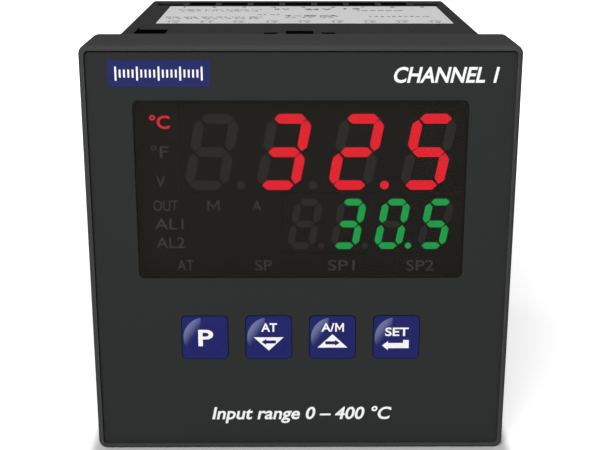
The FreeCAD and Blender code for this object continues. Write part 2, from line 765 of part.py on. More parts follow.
def header_pins():
    """Bent pins from the display board, through the header, into the long board."""
    half = PIN / 2
    z = pin_level()
    y = header_centre()
    pins = []
    for x in pin_places():
        level = box(x - half, x + half, BOARD_FRONT, y + half, z - half, z + half)
        upright = box(x - half, x + half, y - half, y + half, z - half, UPPER_BOARD_TOP + PIN_TAIL)
        pins.append(level.fuse(upright).removeSplitter())
    return pins


# ---------------------------------------------------------------- terminals
def tail_slots():
    """Slots for the contact tails, through the block's floor and the board."""
    half = (TAIL_WIDTH + TAIL_FIT) / 2
    front = WIRE_WINDOW_FRONT - TAIL_FIT / 2
    back = front + CONTACT_THICKNESS + TAIL_FIT
    bottom = UPPER_BOARD_BOTTOM - CUT
    top = UPPER_BOARD_TOP + TERMINAL_FLOOR + CUT
    return [box(x - half, x + half, front, back, bottom, top) for x in way_places()]


def terminal_block():
    """Comb-shaped moulding: a back bar, a floor, and a tooth under each rib of the wire windows."""
    half = INSIDE / 2 - BLOCK_FIT
    teeth_back = REAR_INSIDE - BLOCK_FIT
    floor_top = UPPER_BOARD_TOP + TERMINAL_FLOOR
    bar_body = box(-half, half, BLOCK_FRONT, WIRE_WINDOW_FRONT, UPPER_BOARD_TOP, BLOCK_TOP)
    floor = box(-half, half, WIRE_WINDOW_FRONT, teeth_back, UPPER_BOARD_TOP, floor_top)
    teeth = []
    for x in way_places()[:-1]:
        left = x + WIRE_WINDOW_WIDTH / 2
        right = left + WIRE_WINDOW_RIB
        teeth.append(box(left, right, WIRE_WINDOW_FRONT, teeth_back, UPPER_BOARD_TOP, BLOCK_TOP))
    body = bar_body.fuse([floor] + teeth).removeSplitter()
    half = SCREW_POCKET / 2
    front = HEAD_FRONT - SCREW_LENGTH - SCREW_END_SPACE
    pockets = [
        box(x - half, x + half, front, WIRE_WINDOW_FRONT + CUT, SCREW_Z - half, SCREW_Z + half)
        for x in way_places()
    ]
    return body.cut(pockets + tail_slots())


def contact_strip(x):
    """Screwed plate with a tail down through the board."""
    front = WIRE_WINDOW_FRONT
    back = front + CONTACT_THICKNESS
    half = CONTACT_WIDTH / 2
    bottom = SCREW_Z - CONTACT_HEIGHT / 2
    face = box(x - half, x + half, front, back, bottom, bottom + CONTACT_HEIGHT)
    tail = box(x - TAIL_WIDTH / 2, x + TAIL_WIDTH / 2, front, back, UPPER_BOARD_BOTTOM - TAIL_REACH, bottom)
    hole = sided_rod(SHANK_SIDES, SCREW_DIAMETER + SCREW_FIT, front - CUT, back + CUT, x, SCREW_Z)
    return face.fuse(tail).removeSplitter().cut(hole)


def clamp_plate(x):
    """Forked plate under the screw's head with two lips that hold the wire."""
    half = CLAMP_PLATE / 2
    top = SCREW_Z + half
    bottom = SCREW_Z - half
    flat = box(x - half, x + half, CLAMP_FRONT, HEAD_FRONT, bottom, top)
    lip_front = CLAMP_FRONT - CLAMP_LIP_LENGTH
    left = box(x - half, x - half + CLAMP_LIP, lip_front, HEAD_FRONT, bottom, top)
    right = box(x + half - CLAMP_LIP, x + half, lip_front, HEAD_FRONT, bottom, top)
    fork = (SCREW_DIAMETER + SCREW_FIT) / 2
    slot = box(x - fork, x + fork, CLAMP_FRONT - CUT, HEAD_FRONT + CUT, bottom - CUT, SCREW_Z + fork)
    return flat.fuse([left, right]).removeSplitter().cut(slot)


def terminal_screw(x):
    """Many-sided head on a many-sided shank, which stands for the thread."""
    shank = sided_rod(SHANK_SIDES, SCREW_DIAMETER, HEAD_FRONT - SCREW_LENGTH, HEAD_FRONT, x, SCREW_Z)
    head_back = HEAD_FRONT + SCREW_HEAD_HEIGHT
    head = sided_rod(HEAD_SIDES, SCREW_HEAD_DIAMETER, HEAD_FRONT, head_back, x, SCREW_Z)
    return shank.fuse(head)


# ---------------------------------------------------------------- components
def transformer_core():
    """Stack of E and I laminations round two windows."""
    width = 4 * CORE_LEG + 2 * CORE_WINDOW
    height = CORE_WINDOW_HEIGHT + 2 * CORE_LEG
    front = CORE_Y - CORE_STACK / 2
    back = CORE_Y + CORE_STACK / 2
    top = LOWER_BOARD_TOP + height
    stack = box(CORE_X - width / 2, CORE_X + width / 2, front, back, LOWER_BOARD_TOP, top)
    bottom = LOWER_BOARD_TOP + CORE_LEG
    top = bottom + CORE_WINDOW_HEIGHT
    windows = [
        box(left, left + CORE_WINDOW, front - CUT, back + CUT, bottom, top)
        for left in (CORE_X - CORE_LEG - CORE_WINDOW, CORE_X + CORE_LEG)
    ]
    return stack.cut(windows)


def column(width, length, z0, z1):
    """An upright block round the core's middle leg."""
    x0 = CORE_X - width / 2
    y0 = CORE_Y - length / 2
    return box(x0, x0 + width, y0, y0 + length, z0, z1)


def coil_levels():
    bottom = LOWER_BOARD_TOP + CORE_LEG + BOBBIN_FIT
    return bottom, bottom + CORE_WINDOW_HEIGHT - 2 * BOBBIN_FIT


def bobbin_tube(z0, z1):
    """Outside of the tube that the coil is wound on."""
    wall = 2 * (BOBBIN_FIT + BOBBIN_WALL)
    return column(2 * CORE_LEG + wall, CORE_STACK + wall, z0, z1)


def transformer_bobbin():
    bottom, top = coil_levels()
    rim_width = 2 * (CORE_LEG + CORE_WINDOW - BOBBIN_FIT)
    lower = column(rim_width, TRANSFORMER_LENGTH, bottom, bottom + BOBBIN_WALL)
    upper = column(rim_width, TRANSFORMER_LENGTH, top - BOBBIN_WALL, top)
    hole = column(2 * (CORE_LEG + BOBBIN_FIT), CORE_STACK + 2 * BOBBIN_FIT, bottom - CUT, top + CUT)
    return bobbin_tube(bottom, top).fuse([lower, upper]).removeSplitter().cut(hole)


def transformer_winding():
    bottom, top = coil_levels()
    low = bottom + BOBBIN_WALL
    high = top - BOBBIN_WALL
    coil = column(COIL_LENGTH - CORE_STACK + 2 * CORE_LEG, COIL_LENGTH, low, high)
    coil = coil.makeChamfer(COIL_BUILD / 2, upright_edges(coil))
    return coil.cut(bobbin_tube(low - CUT, high + CUT))


def standing(x, y, width, length, height):
    """A component standing on the lower board."""
    x0 = x - width / 2
    y0 = y - length / 2
    return box(x0, x0 + width, y0, y0 + length, LOWER_BOARD_TOP, LOWER_BOARD_TOP + height)


def hanging(x, shift, width, length, height):
    """A component on the underside of the upper board, shifted from the board's middle."""
    x0 = x - width / 2
    y0 = UPPER_BOARD_MIDDLE + shift - length / 2
    return box(x0, x0 + width, y0, y0 + length, UPPER_BOARD_BOTTOM - height, UPPER_BOARD_BOTTOM)


def output_relay(y):
    """Moulded relay can with chamfered upper edges."""
    can = standing(RELAY_X, y, RELAY_WIDTH, RELAY_LENGTH, RELAY_HEIGHT)
    top = can.BoundBox.ZMax
    rim = [edge for edge in can.Edges if edge.BoundBox.ZMin > top - RELAY_EDGE]
    return can.makeChamfer(RELAY_EDGE, rim)


def smoothing_capacitor():
    y = REAR_ROW_FRONT + SMOOTHING_RADIUS
    return post(SMOOTHING_RADIUS, SMOOTHING_HEIGHT, SMOOTHING_X, y, LOWER_BOARD_TOP)


def small_capacitors():
    places = [SMALL_CAPACITOR_X + step * SMALL_CAPACITOR_PITCH for step in (-1, 0, 1)]
    radius = SMALL_CAPACITOR_RADIUS
    return [post(radius, SMALL_CAPACITOR_HEIGHT, x, FRONT_ROW_Y, LOWER_BOARD_TOP) for x in places]


def film_capacitor():
    y = REAR_ROW_BACK - FILM_CAPACITOR_LENGTH / 2
    size = (FILM_CAPACITOR_WIDTH, FILM_CAPACITOR_LENGTH, FILM_CAPACITOR_HEIGHT)
    body = standing(FILM_CAPACITOR_X, y, *size)
    return body.makeFillet(FILM_CAPACITOR_ROUND, upright_edges(body))


def varistor():
    z = LOWER_BOARD_TOP + VARISTOR_RADIUS
    return rod(VARISTOR_RADIUS, VARISTOR_THICKNESS, FILM_CAPACITOR_X, REAR_ROW_FRONT, z)


def fuse():
    return post(FUSE_RADIUS, FUSE_HEIGHT, FUSE_X, FRONT_ROW_Y, LOWER_BOARD_TOP)


def bridge_rectifier():
    body = standing(BRIDGE_X, FRONT_ROW_Y, BRIDGE_WIDTH, BRIDGE_LENGTH, BRIDGE_HEIGHT)
    return body.makeChamfer(BRIDGE_CORNER, upright_edges(body))


def voltage_regulator():
    """Upright package with its drilled metal tab behind it."""
    body = standing(REGULATOR_X, FRONT_ROW_Y, REGULATOR_WIDTH, REGULATOR_THICKNESS, REGULATOR_HEIGHT)
    back = body.BoundBox.YMax
    y = back + REGULATOR_TAB / 2
    tab = standing(REGULATOR_X, y, REGULATOR_WIDTH, REGULATOR_TAB, REGULATOR_TAB_HEIGHT)
    z = LOWER_BOARD_TOP + REGULATOR_HOLE_HEIGHT
    hole = rod(REGULATOR_HOLE_RADIUS, REGULATOR_TAB + 2 * CUT, REGULATOR_X, back - CUT, z)
    return body.fuse(tab).cut(hole)


def processor_chip():
    body = hanging(PROCESSOR_X, PROCESSOR_SHIFT, PROCESSOR, PROCESSOR, PROCESSOR_HEIGHT)
    return body.makeChamfer(PROCESSOR_CORNER, upright_edges(body))


def converter_chip():
    return hanging(PROCESSOR_X, CONVERTER_SHIFT, CONVERTER_WIDTH, CONVERTER_LENGTH, CONVERTER_HEIGHT)


def crystal():
    body = hanging(CRYSTAL_X, PROCESSOR_SHIFT, CRYSTAL_WIDTH, CRYSTAL_LENGTH, CRYSTAL_HEIGHT)
    return body.makeFillet(CRYSTAL_ROUND, upright_edges(body))


def rating_label():
    x = LABEL_SHIFT
    front = FRONT + LABEL_DEPTH
    half = LABEL_WIDTH / 2
    return box(x - half, x + half, front, front + LABEL_LENGTH, HOUSING_TOP, HOUSING_TOP + LABEL_THICKNESS)


# ---------------------------------------------------------------- write one file for each piece
def save_front():
    save("front_bezel", front_bezel())
    save("panel_gasket", panel_gasket())
    save("overlay_film", overlay_film())
    save("display_filter", display_filter())
    for name, x in zip(KEY_NAMES, key_places()):
        save("key_" + name, key(x))
        save("plunger_" + name, switch_plunger(x))
        save("switch_base_" + name, switch_base(x))


def save_displays():
    for name, case, made in (("red", red_case(), red_display()), ("green", green_case(), green_display())):
        shining, resting = made
        save(name + "_display_case", case.cut(shining + resting))
        save(name + "_segments_lit", *shining)
        save(name + "_segments_dark", *resting)
    save("legend_sheet", legend_sheet())
    save("indicator_light_box", indicator_light_box())
    save("indicator_lamps", *indicator_lamps())
    save("display_board", display_board())


def save_twice(name, solids):
    """Write the upper copy and its mirror image."""
    save("upper_" + name, *solids)
    save("lower_" + name, *[mirrored(solid) for solid in solids])


def save_boards():
    save_twice("board", [upper_board()])
    save_twice("header", [header()])
    save_twice("header_pins", header_pins())
    save_twice("terminal_block", [terminal_block()])
    save_twice("contact_strips", [contact_strip(x) for x in way_places()])
    save_twice("clamp_plates", [clamp_plate(x) for x in way_places()])
    save_twice("terminal_screws", [terminal_screw(x) for x in way_places()])


def save_components():
    save("transformer_core", transformer_core())
    save("transformer_bobbin", transformer_bobbin())
    save("transformer_winding", transformer_winding())
    save("output_relay_front", output_relay(FRONT_RELAY_Y))
    save("output_relay_rear", output_relay(REAR_RELAY_Y))
    save("smoothing_capacitor", smoothing_capacitor())
    save("small_capacitors", *small_capacitors())
    save("film_capacitor", film_capacitor())
    save("varistor", varistor())
    save("fuse", fuse())
    save("bridge_rectifier", bridge_rectifier())
    save("voltage_regulator", voltage_regulator())
    save("processor_chip", processor_chip())
    save("converter_chip", converter_chip())
    save("crystal", crystal())


def main():
    os.makedirs("parts", exist_ok=True)
    save("rear_housing", rear_housing())
    save_front()
    save_displays()
    save_boards()
    save_components()
    save("rating_label", rating_label())


main()
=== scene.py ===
import math

import bmesh
import bpy
from mathutils import Matrix, Vector


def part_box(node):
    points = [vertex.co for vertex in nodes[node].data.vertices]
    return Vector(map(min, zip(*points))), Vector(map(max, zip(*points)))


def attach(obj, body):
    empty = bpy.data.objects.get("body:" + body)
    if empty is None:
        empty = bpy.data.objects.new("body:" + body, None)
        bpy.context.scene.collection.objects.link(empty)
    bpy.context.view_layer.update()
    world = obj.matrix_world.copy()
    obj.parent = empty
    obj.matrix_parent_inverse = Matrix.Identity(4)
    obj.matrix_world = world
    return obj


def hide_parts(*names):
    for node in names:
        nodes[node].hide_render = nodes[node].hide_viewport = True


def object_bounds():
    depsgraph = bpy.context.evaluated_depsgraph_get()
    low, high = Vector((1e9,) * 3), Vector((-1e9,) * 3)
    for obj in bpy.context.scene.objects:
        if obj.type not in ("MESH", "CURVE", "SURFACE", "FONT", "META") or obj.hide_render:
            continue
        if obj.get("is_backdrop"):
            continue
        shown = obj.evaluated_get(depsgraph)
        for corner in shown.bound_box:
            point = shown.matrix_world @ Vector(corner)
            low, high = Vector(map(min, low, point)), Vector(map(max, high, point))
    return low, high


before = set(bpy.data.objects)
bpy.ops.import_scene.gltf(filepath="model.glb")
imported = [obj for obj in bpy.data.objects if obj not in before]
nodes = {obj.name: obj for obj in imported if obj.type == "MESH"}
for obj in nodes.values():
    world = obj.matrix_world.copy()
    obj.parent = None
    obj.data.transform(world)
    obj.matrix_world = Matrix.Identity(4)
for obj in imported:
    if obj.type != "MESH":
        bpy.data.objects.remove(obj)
cad_low, cad_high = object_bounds()

MM = 0.001
CASE = "case"
KEYS = ("program", "down", "up", "set")

# Places that the lettering and prints are set out from, taken from the frame
film_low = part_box("overlay_film")[0]
sheet_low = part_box("legend_sheet")[0]
housing_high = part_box("rear_housing")[1]
label_low, label_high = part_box("rating_label")
screws_low, screws_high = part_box("upper_terminal_screws")
FRONT = cad_low.y
BACK = cad_high.y
CENTRE_Z = (cad_low.z + cad_high.z) / 2
FILM_FACE = film_low.y
SHEET_FACE = sheet_low.y

# Sizes the frame doesn't tell, so they are written here and have to follow the solids if those change
WAYS = 9
REAR_RECESS = 0.3 * MM        # from the housing's rear rim to its sunk panel
SLOPE_SIDE = 24.9 * MM        # clamp slot's slope: nearest place to the middle
SLOPE_START = -4.4 * MM       # front end of that slope
SCREW_HEAD_HEIGHT = 1.8 * MM
SHANK_SHARE = 0.3             # screw's shank radius for each unit of head diameter

INK = 0.02 * MM               # thickness of a printed layer
REAR_PANEL = BACK - REAR_RECESS


# ---------------------------------------------------------------- camera
LENS = 69.98
SENSOR = 36.0
CAMERA_SIDE = -1.51 * MM
CAMERA_DISTANCE = 187.75 * MM  # in front of the instrument's front
CAMERA_HEIGHT = 99.24 * MM
CAMERA_HEADING = -0.42         # degrees
CAMERA_DIP = 17.02             # degrees below level
CAMERA_ROLL = 0.06             # degrees


def make_camera():
    """A long lens in front of the instrument, a little above it and looking slightly down."""
    data = bpy.data.cameras.new("front camera")
    data.lens = LENS
    data.sensor_width = SENSOR
    data.clip_start = 0.01
    camera = bpy.data.objects.new("front camera", data)
    bpy.context.scene.collection.objects.link(camera)
    camera.location = (CAMERA_SIDE, FRONT - CAMERA_DISTANCE, CAMERA_HEIGHT)
    heading = Matrix.Rotation(math.radians(CAMERA_HEADING), 4, "Z")
    tilt = Matrix.Rotation(math.radians(90 - CAMERA_DIP), 4, "X")
    roll = Matrix.Rotation(math.radians(CAMERA_ROLL), 4, "Z")
    camera.rotation_euler = (heading @ tilt @ roll).to_euler()
    bpy.context.scene.camera = camera


make_camera()


# ---------------------------------------------------------------- shader helpers
def srgb(red, green, blue):
    """Scene-linear colour of a display colour given from 0 to 255."""
    def linear(value):
        part = value / 255
        return part / 12.92 if part <= 0.04045 else ((part + 0.055) / 1.055) ** 2.4
    return (linear(red), linear(green), linear(blue), 1.0)


class Tree:
    """Short way to place and link the nodes of a shader or geometry tree."""

    def __init__(self, tree):
        self.tree = tree

    def add(self, kind, **settings):
        node = self.tree.nodes.new(kind)
        for name, value in settings.items():
            setattr(node, name, value)
        return node

    def link(self, output, entry):
        self.tree.links.new(output, entry)

    def feed(self, entry, value):
        """Link a socket, or set a plain value."""
        if isinstance(value, bpy.types.NodeSocket):
            self.link(value, entry)
        else:
            entry.default_value = value

    def math(self, operation, *values, clamp=False):
        node = self.add("ShaderNodeMath", operation=operation, use_clamp=clamp)
        for entry, value in zip(node.inputs, values):
            self.feed(entry, value)
        return node.outputs[0]

    def mix(self, factor, first, second):
        node = self.add("ShaderNodeMix", data_type="RGBA")
        self.feed(node.inputs["Factor"], factor)
        self.feed(node.inputs[6], first)
        self.feed(node.inputs[7], second)
        return node.outputs[2]

    def ramp(self, value, low, high, start=0.0, end=1.0):
        node = self.add("ShaderNodeMapRange", interpolation_type="SMOOTHSTEP")
        self.feed(node.inputs["Value"], value)
        self.feed(node.inputs["From Min"], low)
        self.feed(node.inputs["From Max"], high)
        self.feed(node.inputs["To Min"], start)
        self.feed(node.inputs["To Max"], end)
        return node.outputs["Result"]

    def vector(self, **parts):
        """Vector made of the parts X, Y and Z that are given."""
        node = self.add("ShaderNodeCombineXYZ")
        for axis, value in parts.items():
            self.feed(node.inputs[axis], value)
        return node.outputs["Vector"]

    def noise(self, place, scale, detail=2.0):
        node = self.add("ShaderNodeTexNoise")
        self.link(place, node.inputs["Vector"])
        self.feed(node.inputs["Scale"], scale)
        node.inputs["Detail"].default_value = detail
        return node.outputs["Fac"]


def shader_group(name, inputs, outputs):
    """An empty shader group with named sockets, and its inner helper, input node and output node."""
    group = bpy.data.node_groups.new(name, "ShaderNodeTree")
    for label, kind, value in inputs:
        socket = group.interface.new_socket(label, in_out="INPUT", socket_type=kind)
        socket.default_value = value
    for label, kind in outputs:
        group.interface.new_socket(label, in_out="OUTPUT", socket_type=kind)
    inner = Tree(group)
    return group, inner, inner.add("NodeGroupInput"), inner.add("NodeGroupOutput")


def moulded_finish_group():
    """Spark-eroded grain, slow changes of colour and rubbed patches of a moulded or printed surface."""
    group, inner, entry, result = shader_group(
        "moulded finish",
        (
            ("Colour", "NodeSocketColor", (0.05, 0.05, 0.05, 1.0)),
            ("Colour change", "NodeSocketFloat", 0.08),
            ("Patch scale", "NodeSocketFloat", 60.0),
            ("Grain scale", "NodeSocketFloat", 4000.0),
            ("Roughness", "NodeSocketFloat", 0.5),
            ("Roughness change", "NodeSocketFloat", 0.08),
        ),
        (("Colour", "NodeSocketColor"), ("Roughness", "NodeSocketFloat"), ("Height", "NodeSocketFloat")),
    )
    place = inner.add("ShaderNodeTexCoord").outputs["Object"]
    patches = inner.noise(place, entry.outputs["Patch scale"], 3.0)
    grain = inner.noise(place, entry.outputs["Grain scale"], 1.0)
    swing = inner.math("SUBTRACT", patches, 0.5)
    speck = inner.math("SUBTRACT", grain, 0.5)
    both = inner.math("ADD", inner.math("MULTIPLY", swing, 2.0), speck)
    change = inner.math("MULTIPLY", both, entry.outputs["Colour change"])
    gain = inner.math("ADD", change, 1.0)
    scaled = inner.add("ShaderNodeVectorMath", operation="SCALE")
    inner.link(entry.outputs["Colour"], scaled.inputs[0])
    inner.link(gain, scaled.inputs["Scale"])
    inner.link(scaled.outputs["Vector"], result.inputs["Colour"])
    rough = inner.math("MULTIPLY", inner.math("MULTIPLY", swing, 2.0), entry.outputs["Roughness change"])
    inner.link(inner.math("ADD", rough, entry.outputs["Roughness"], clamp=True), result.inputs["Roughness"])
    inner.link(grain, result.inputs["Height"])
    return group


def edge_wear_and_highlight_group():
    """Mask of the outer edges, broken up: partly wear that handling polishes, partly a painted highlight on the
    edges.
    """
    group, inner, entry, result = shader_group(
        "edge wear and painted highlight",
        (("Width", "NodeSocketFloat", 0.0002), ("Break-up scale", "NodeSocketFloat", 900.0)),
        (("Mask", "NodeSocketFloat"),),
    )
    bevel = inner.add("ShaderNodeBevel", samples=6)
    inner.link(entry.outputs["Width"], bevel.inputs["Radius"])
    plain = inner.add("ShaderNodeNewGeometry").outputs["Normal"]
    dot = inner.add("ShaderNodeVectorMath", operation="DOT_PRODUCT")
    inner.link(bevel.outputs["Normal"], dot.inputs[0])
    inner.link(plain, dot.inputs[1])
    turn = inner.math("SUBTRACT", 1.0, dot.outputs["Value"])
    edge = inner.ramp(turn, 0.02, 0.25)
    place = inner.add("ShaderNodeTexCoord").outputs["Object"]
    broken = inner.ramp(inner.noise(place, entry.outputs["Break-up scale"], 2.0), 0.35, 0.6)
    inner.link(inner.math("MULTIPLY", edge, broken), result.inputs["Mask"])
    return group


def opening_painted_shade_group():
    """Painted shade: mask of the faces inside a box housing's openings, from how deep they lie under its outer
    faces; these faces are darkened as if in shadow.
    """
    group, inner, entry, result = shader_group(
        "opening painted shade",
        (
            ("Half width", "NodeSocketFloat", housing_high.x),
            ("Middle height", "NodeSocketFloat", CENTRE_Z),
            ("Rear", "NodeSocketFloat", REAR_PANEL),
            ("Depth", "NodeSocketFloat", 0.1 * MM),
            ("Slope side", "NodeSocketFloat", SLOPE_SIDE),
            ("Slope start", "NodeSocketFloat", SLOPE_START),
            ("Slope depth", "NodeSocketFloat", 0.45 * MM),
        ),
        (("Mask", "NodeSocketFloat"),),
    )
    split = inner.add("ShaderNodeSeparateXYZ")
    inner.link(inner.add("ShaderNodeTexCoord").outputs["Object"], split.inputs["Vector"])
    across = inner.math("ABSOLUTE", split.outputs["X"])
    up = inner.math("ABSOLUTE", inner.math("SUBTRACT", split.outputs["Z"], entry.outputs["Middle height"]))
    side = inner.math("SUBTRACT", entry.outputs["Half width"], across)
    top = inner.math("SUBTRACT", entry.outputs["Half width"], up)
    rear = inner.math("SUBTRACT", entry.outputs["Rear"], split.outputs["Y"])
    deep = inner.math("MINIMUM", inner.math("MINIMUM", side, top), rear)
    outside = inner.math("GREATER_THAN", across, entry.outputs["Slope side"])
    behind = inner.math("GREATER_THAN", split.outputs["Y"], entry.outputs["Slope start"])
    slope = inner.math("MULTIPLY", inner.math("MULTIPLY", outside, behind), entry.outputs["Slope depth"])
    limit = inner.math("ADD", entry.outputs["Depth"], slope)
    soft = inner.math("MULTIPLY", limit, 0.5)
    inner.link(inner.ramp(deep, soft, limit), result.inputs["Mask"])
    return group


FINISH = moulded_finish_group()
EDGE_WEAR_AND_HIGHLIGHT = edge_wear_and_highlight_group()
OPENING_PAINTED_SHADE = opening_painted_shade_group()


def group_node(tree, group, **values):
    node = tree.add("ShaderNodeGroup", node_tree=group)
    for name, value in values.items():
        tree.feed(node.inputs[name.replace("_", " ")], value)
    return node


def new_material(name):
    """A material with its tree helper and its shader."""
    material = bpy.data.materials.new(name)
    material.use_nodes = True
    tree = Tree(material.node_tree)
    return material, tree, material.node_tree.nodes["Principled BSDF"]


def finish(name, colour, roughness=0.5, grain=4000.0, bump=0.02, metallic=0.0, specular=0.5, patch=60.0,
           change=0.08, rubbed=0.08, wear_and_highlight=0.0, coat=0.0, painted_opening_shade=0.0):
    """A moulded, printed or plated surface with its own grain and patches, edges that are partly worn and partly
    given a painted highlight, and, where asked, painted shade inside its openings.
    """
    material, tree, shader = new_material(name)
    made = group_node(
        tree, FINISH, Colour=colour, Colour_change=change, Patch_scale=patch, Grain_scale=grain,
        Roughness=roughness, Roughness_change=rubbed,
    )
    shade = made.outputs["Colour"]
    # Edges lightened: partly real wear, partly a painted highlight.
    if wear_and_highlight:
        mask = group_node(tree, EDGE_WEAR_AND_HIGHLIGHT).outputs["Mask"]
        amount = tree.math("MULTIPLY", mask, wear_and_highlight)
        worn_and_highlit_edge = tuple(min(1.0, part * 2.5 + 0.02) for part in colour[:3]) + (1.0,)
        shade = tree.mix(amount, shade, worn_and_highlit_edge)
    # Painted shade: faces deep inside the openings are darkened towards near black.
    if painted_opening_shade:
        mask = group_node(tree, OPENING_PAINTED_SHADE).outputs["Mask"]
        shade = tree.mix(tree.math("MULTIPLY", mask, painted_opening_shade), shade, srgb(6, 6, 6))
    tree.link(shade, shader.inputs["Base Color"])
    tree.link(made.outputs["Roughness"], shader.inputs["Roughness"])
    shader.inputs["Metallic"].default_value = metallic
    shader.inputs["Specular IOR Level"].default_value = specular
    shader.inputs["Coat Weight"].default_value = coat
    height = tree.add("ShaderNodeBump")
    height.inputs["Strength"].default_value = 0.6
    height.inputs["Distance"].default_value = bump * MM
    tree.link(made.outputs["Height"], height.inputs["Height"])
    tree.link(height.outputs["Normal"], shader.inputs["Normal"])
    return material


def lamp_finish(name, colour, strength, base):
    """A milky light window with its lamp behind it, used for the unlit segments and legends too, where the faint
    glow is painted light.
    """
    material, tree, shader = new_material(name)
    place = tree.add("ShaderNodeTexCoord").outputs["Object"]
    cloud = tree.noise(place, 900.0, 1.0)
    dimmer = tuple(part * 0.9 for part in colour[:3]) + (1.0,)
    shade = tree.mix(tree.ramp(cloud, 0.3, 0.7, 0.0, 0.25), colour, dimmer)
    tree.link(shade, shader.inputs["Emission Color"])
    shader.inputs["Emission Strength"].default_value = strength
    shader.inputs["Base Color"].default_value = base
    shader.inputs["Roughness"].default_value = 0.4
    return material


def smoked_finish():
    """Dark tinted sheet: nearly black from the front, lit segments shine through it."""
    material, tree, shader = new_material("smoked window")
    made = group_node(
        tree, FINISH, Colour=srgb(30, 28, 24), Colour_change=0.02, Patch_scale=40.0, Grain_scale=9000.0,
        Roughness=0.4, Roughness_change=0.04,
    )
    tree.link(made.outputs["Colour"], shader.inputs["Base Color"])
    tree.link(made.outputs["Roughness"], shader.inputs["Roughness"])
    shader.inputs["Alpha"].default_value = 0.6
    shader.inputs["Specular IOR Level"].default_value = 0.1
    return material


def key_finish(name, centre):
    """Blue key print with a painted pale highlight, the glint of its raised pad, at the upper left."""
    material, tree, shader = new_material(name)
    made = group_node(
        tree, FINISH, Colour=srgb(22, 25, 94), Colour_change=0.05, Patch_scale=300.0, Grain_scale=5000.0,
        Roughness=0.38, Roughness_change=0.05,
    )
    place = tree.add("ShaderNodeTexCoord").outputs["Object"]
    mapping = tree.add("ShaderNodeMapping")
    mapping.inputs["Location"].default_value = (-centre.x, 0.0, -centre.z)
    tree.link(place, mapping.inputs["Vector"])
    split = tree.add("ShaderNodeSeparateXYZ")
    tree.link(mapping.outputs["Vector"], split.inputs["Vector"])
    across = split.outputs["X"]
    up = split.outputs["Z"]
    out = tree.math("SQRT", tree.math("ADD", tree.math("MULTIPLY", across, across), tree.math("MULTIPLY", up, up)))
    inside = tree.ramp(out, 3.80 * MM, 3.66 * MM)
    slant = tree.math("ADD", tree.math("MULTIPLY", across, -0.82), tree.math("MULTIPLY", up, 0.57))
    left = tree.ramp(across, -0.55 * MM, -0.85 * MM)
    painted_glint = tree.math("MULTIPLY", tree.math("MULTIPLY", inside, left), tree.ramp(slant, 1.5 * MM, 3.6 * MM))
    # Painted highlight: the glint is mixed into the base colour as a pale blue.
    shade = tree.mix(tree.math("MULTIPLY", painted_glint, 0.8), made.outputs["Colour"], srgb(112, 120, 160))
    tree.link(shade, shader.inputs["Base Color"])
    tree.link(made.outputs["Roughness"], shader.inputs["Roughness"])
    shader.inputs["Specular IOR Level"].default_value = 0.15
    height = tree.add("ShaderNodeBump")
    height.inputs["Distance"].default_value = 0.005 * MM
    tree.link(made.outputs["Height"], height.inputs["Height"])
    tree.link(height.outputs["Normal"], shader.inputs["Normal"])
    return material


# ---------------------------------------------------------------- materials of the CAD nodes
# The case's openings get painted shade inside; the case and bezel edges get wear with a painted highlight.
CASE_BLACK = finish("case black", srgb(56, 56, 56), 0.8, 3500.0, 0.03, specular=0.001, wear_and_highlight=0.3, painted_opening_shade=1.0)
BEZEL_BLACK = finish("bezel black", srgb(65, 65, 65), 0.75, 3500.0, 0.025, specular=0.001, wear_and_highlight=0.3)
GASKET = finish("gasket rubber", srgb(30, 30, 30), 0.8, 2500.0, 0.02, specular=0.3)
FILM = finish("front film", srgb(41, 44, 43), 0.6, 6000.0, 0.006, specular=0.06, change=0.03)
SMOKED = smoked_finish()
CASE_DARK = finish("display case", srgb(26, 26, 25), 0.6, 3000.0, 0.01)
RED_LIT = lamp_finish("lit red segment", srgb(220, 18, 38), 6.2, srgb(120, 14, 20))
GREEN_LIT = lamp_finish("lit green segment", srgb(6, 150, 66), 6.2, srgb(10, 80, 34))
# Unlit segments give off a faint painted glow.
UNLIT_SEGMENT_PAINTED_GLOW = lamp_finish("unlit segment with painted glow", srgb(150, 150, 146), 0.02, srgb(160, 160, 152))
SHEET = finish("legend sheet", srgb(24, 24, 23), 0.5, 3000.0, 0.005)
BOARD = finish("solder mask", srgb(18, 74, 40), 0.35, 1500.0, 0.01, coat=0.3)
NYLON = finish("terminal nylon", srgb(34, 34, 34), 0.5, 3000.0, 0.02, specular=0.4)
TINNED = finish("tinned brass", srgb(196, 192, 178), 0.32, 2500.0, 0.01, metallic=1.0, rubbed=0.12)
# Zinc edges: wear with a painted highlight.
ZINC = finish("zinc plate", srgb(186, 188, 190), 0.28, 2500.0, 0.01, metallic=1.0, rubbed=0.12, wear_and_highlight=0.3)
RELAY = finish("relay can", srgb(30, 70, 140), 0.45, 2500.0, 0.02)
CORE = finish("core steel", srgb(120, 120, 124), 0.45, 5000.0, 0.03, metallic=1.0)
BOBBIN = finish("bobbin nylon", srgb(200, 195, 175), 0.5, 2500.0, 0.02)
TAPE = finish("winding tape", srgb(205, 170, 40), 0.35, 1200.0, 0.02)
CAN = finish("capacitor sleeve", srgb(40, 42, 60), 0.35, 2500.0, 0.01)
EPOXY = finish("black epoxy", srgb(34, 34, 36), 0.55, 2500.0, 0.02)
DIPPED_RED = finish("red dip", srgb(150, 50, 34), 0.35, 1500.0, 0.02)
DIPPED_BLUE = finish("blue dip", srgb(36, 70, 150), 0.35, 1500.0, 0.02)
CRYSTAL = finish("drawn can", srgb(190, 190, 192), 0.25, 2500.0, 0.01, metallic=1.0)
PAPER = finish("label film", srgb(212, 212, 212), 0.6, 2500.0, 0.005, specular=0.2, change=0.03)
SWITCH = finish("switch plastic", srgb(46, 46, 46), 0.5, 2500.0, 0.02)
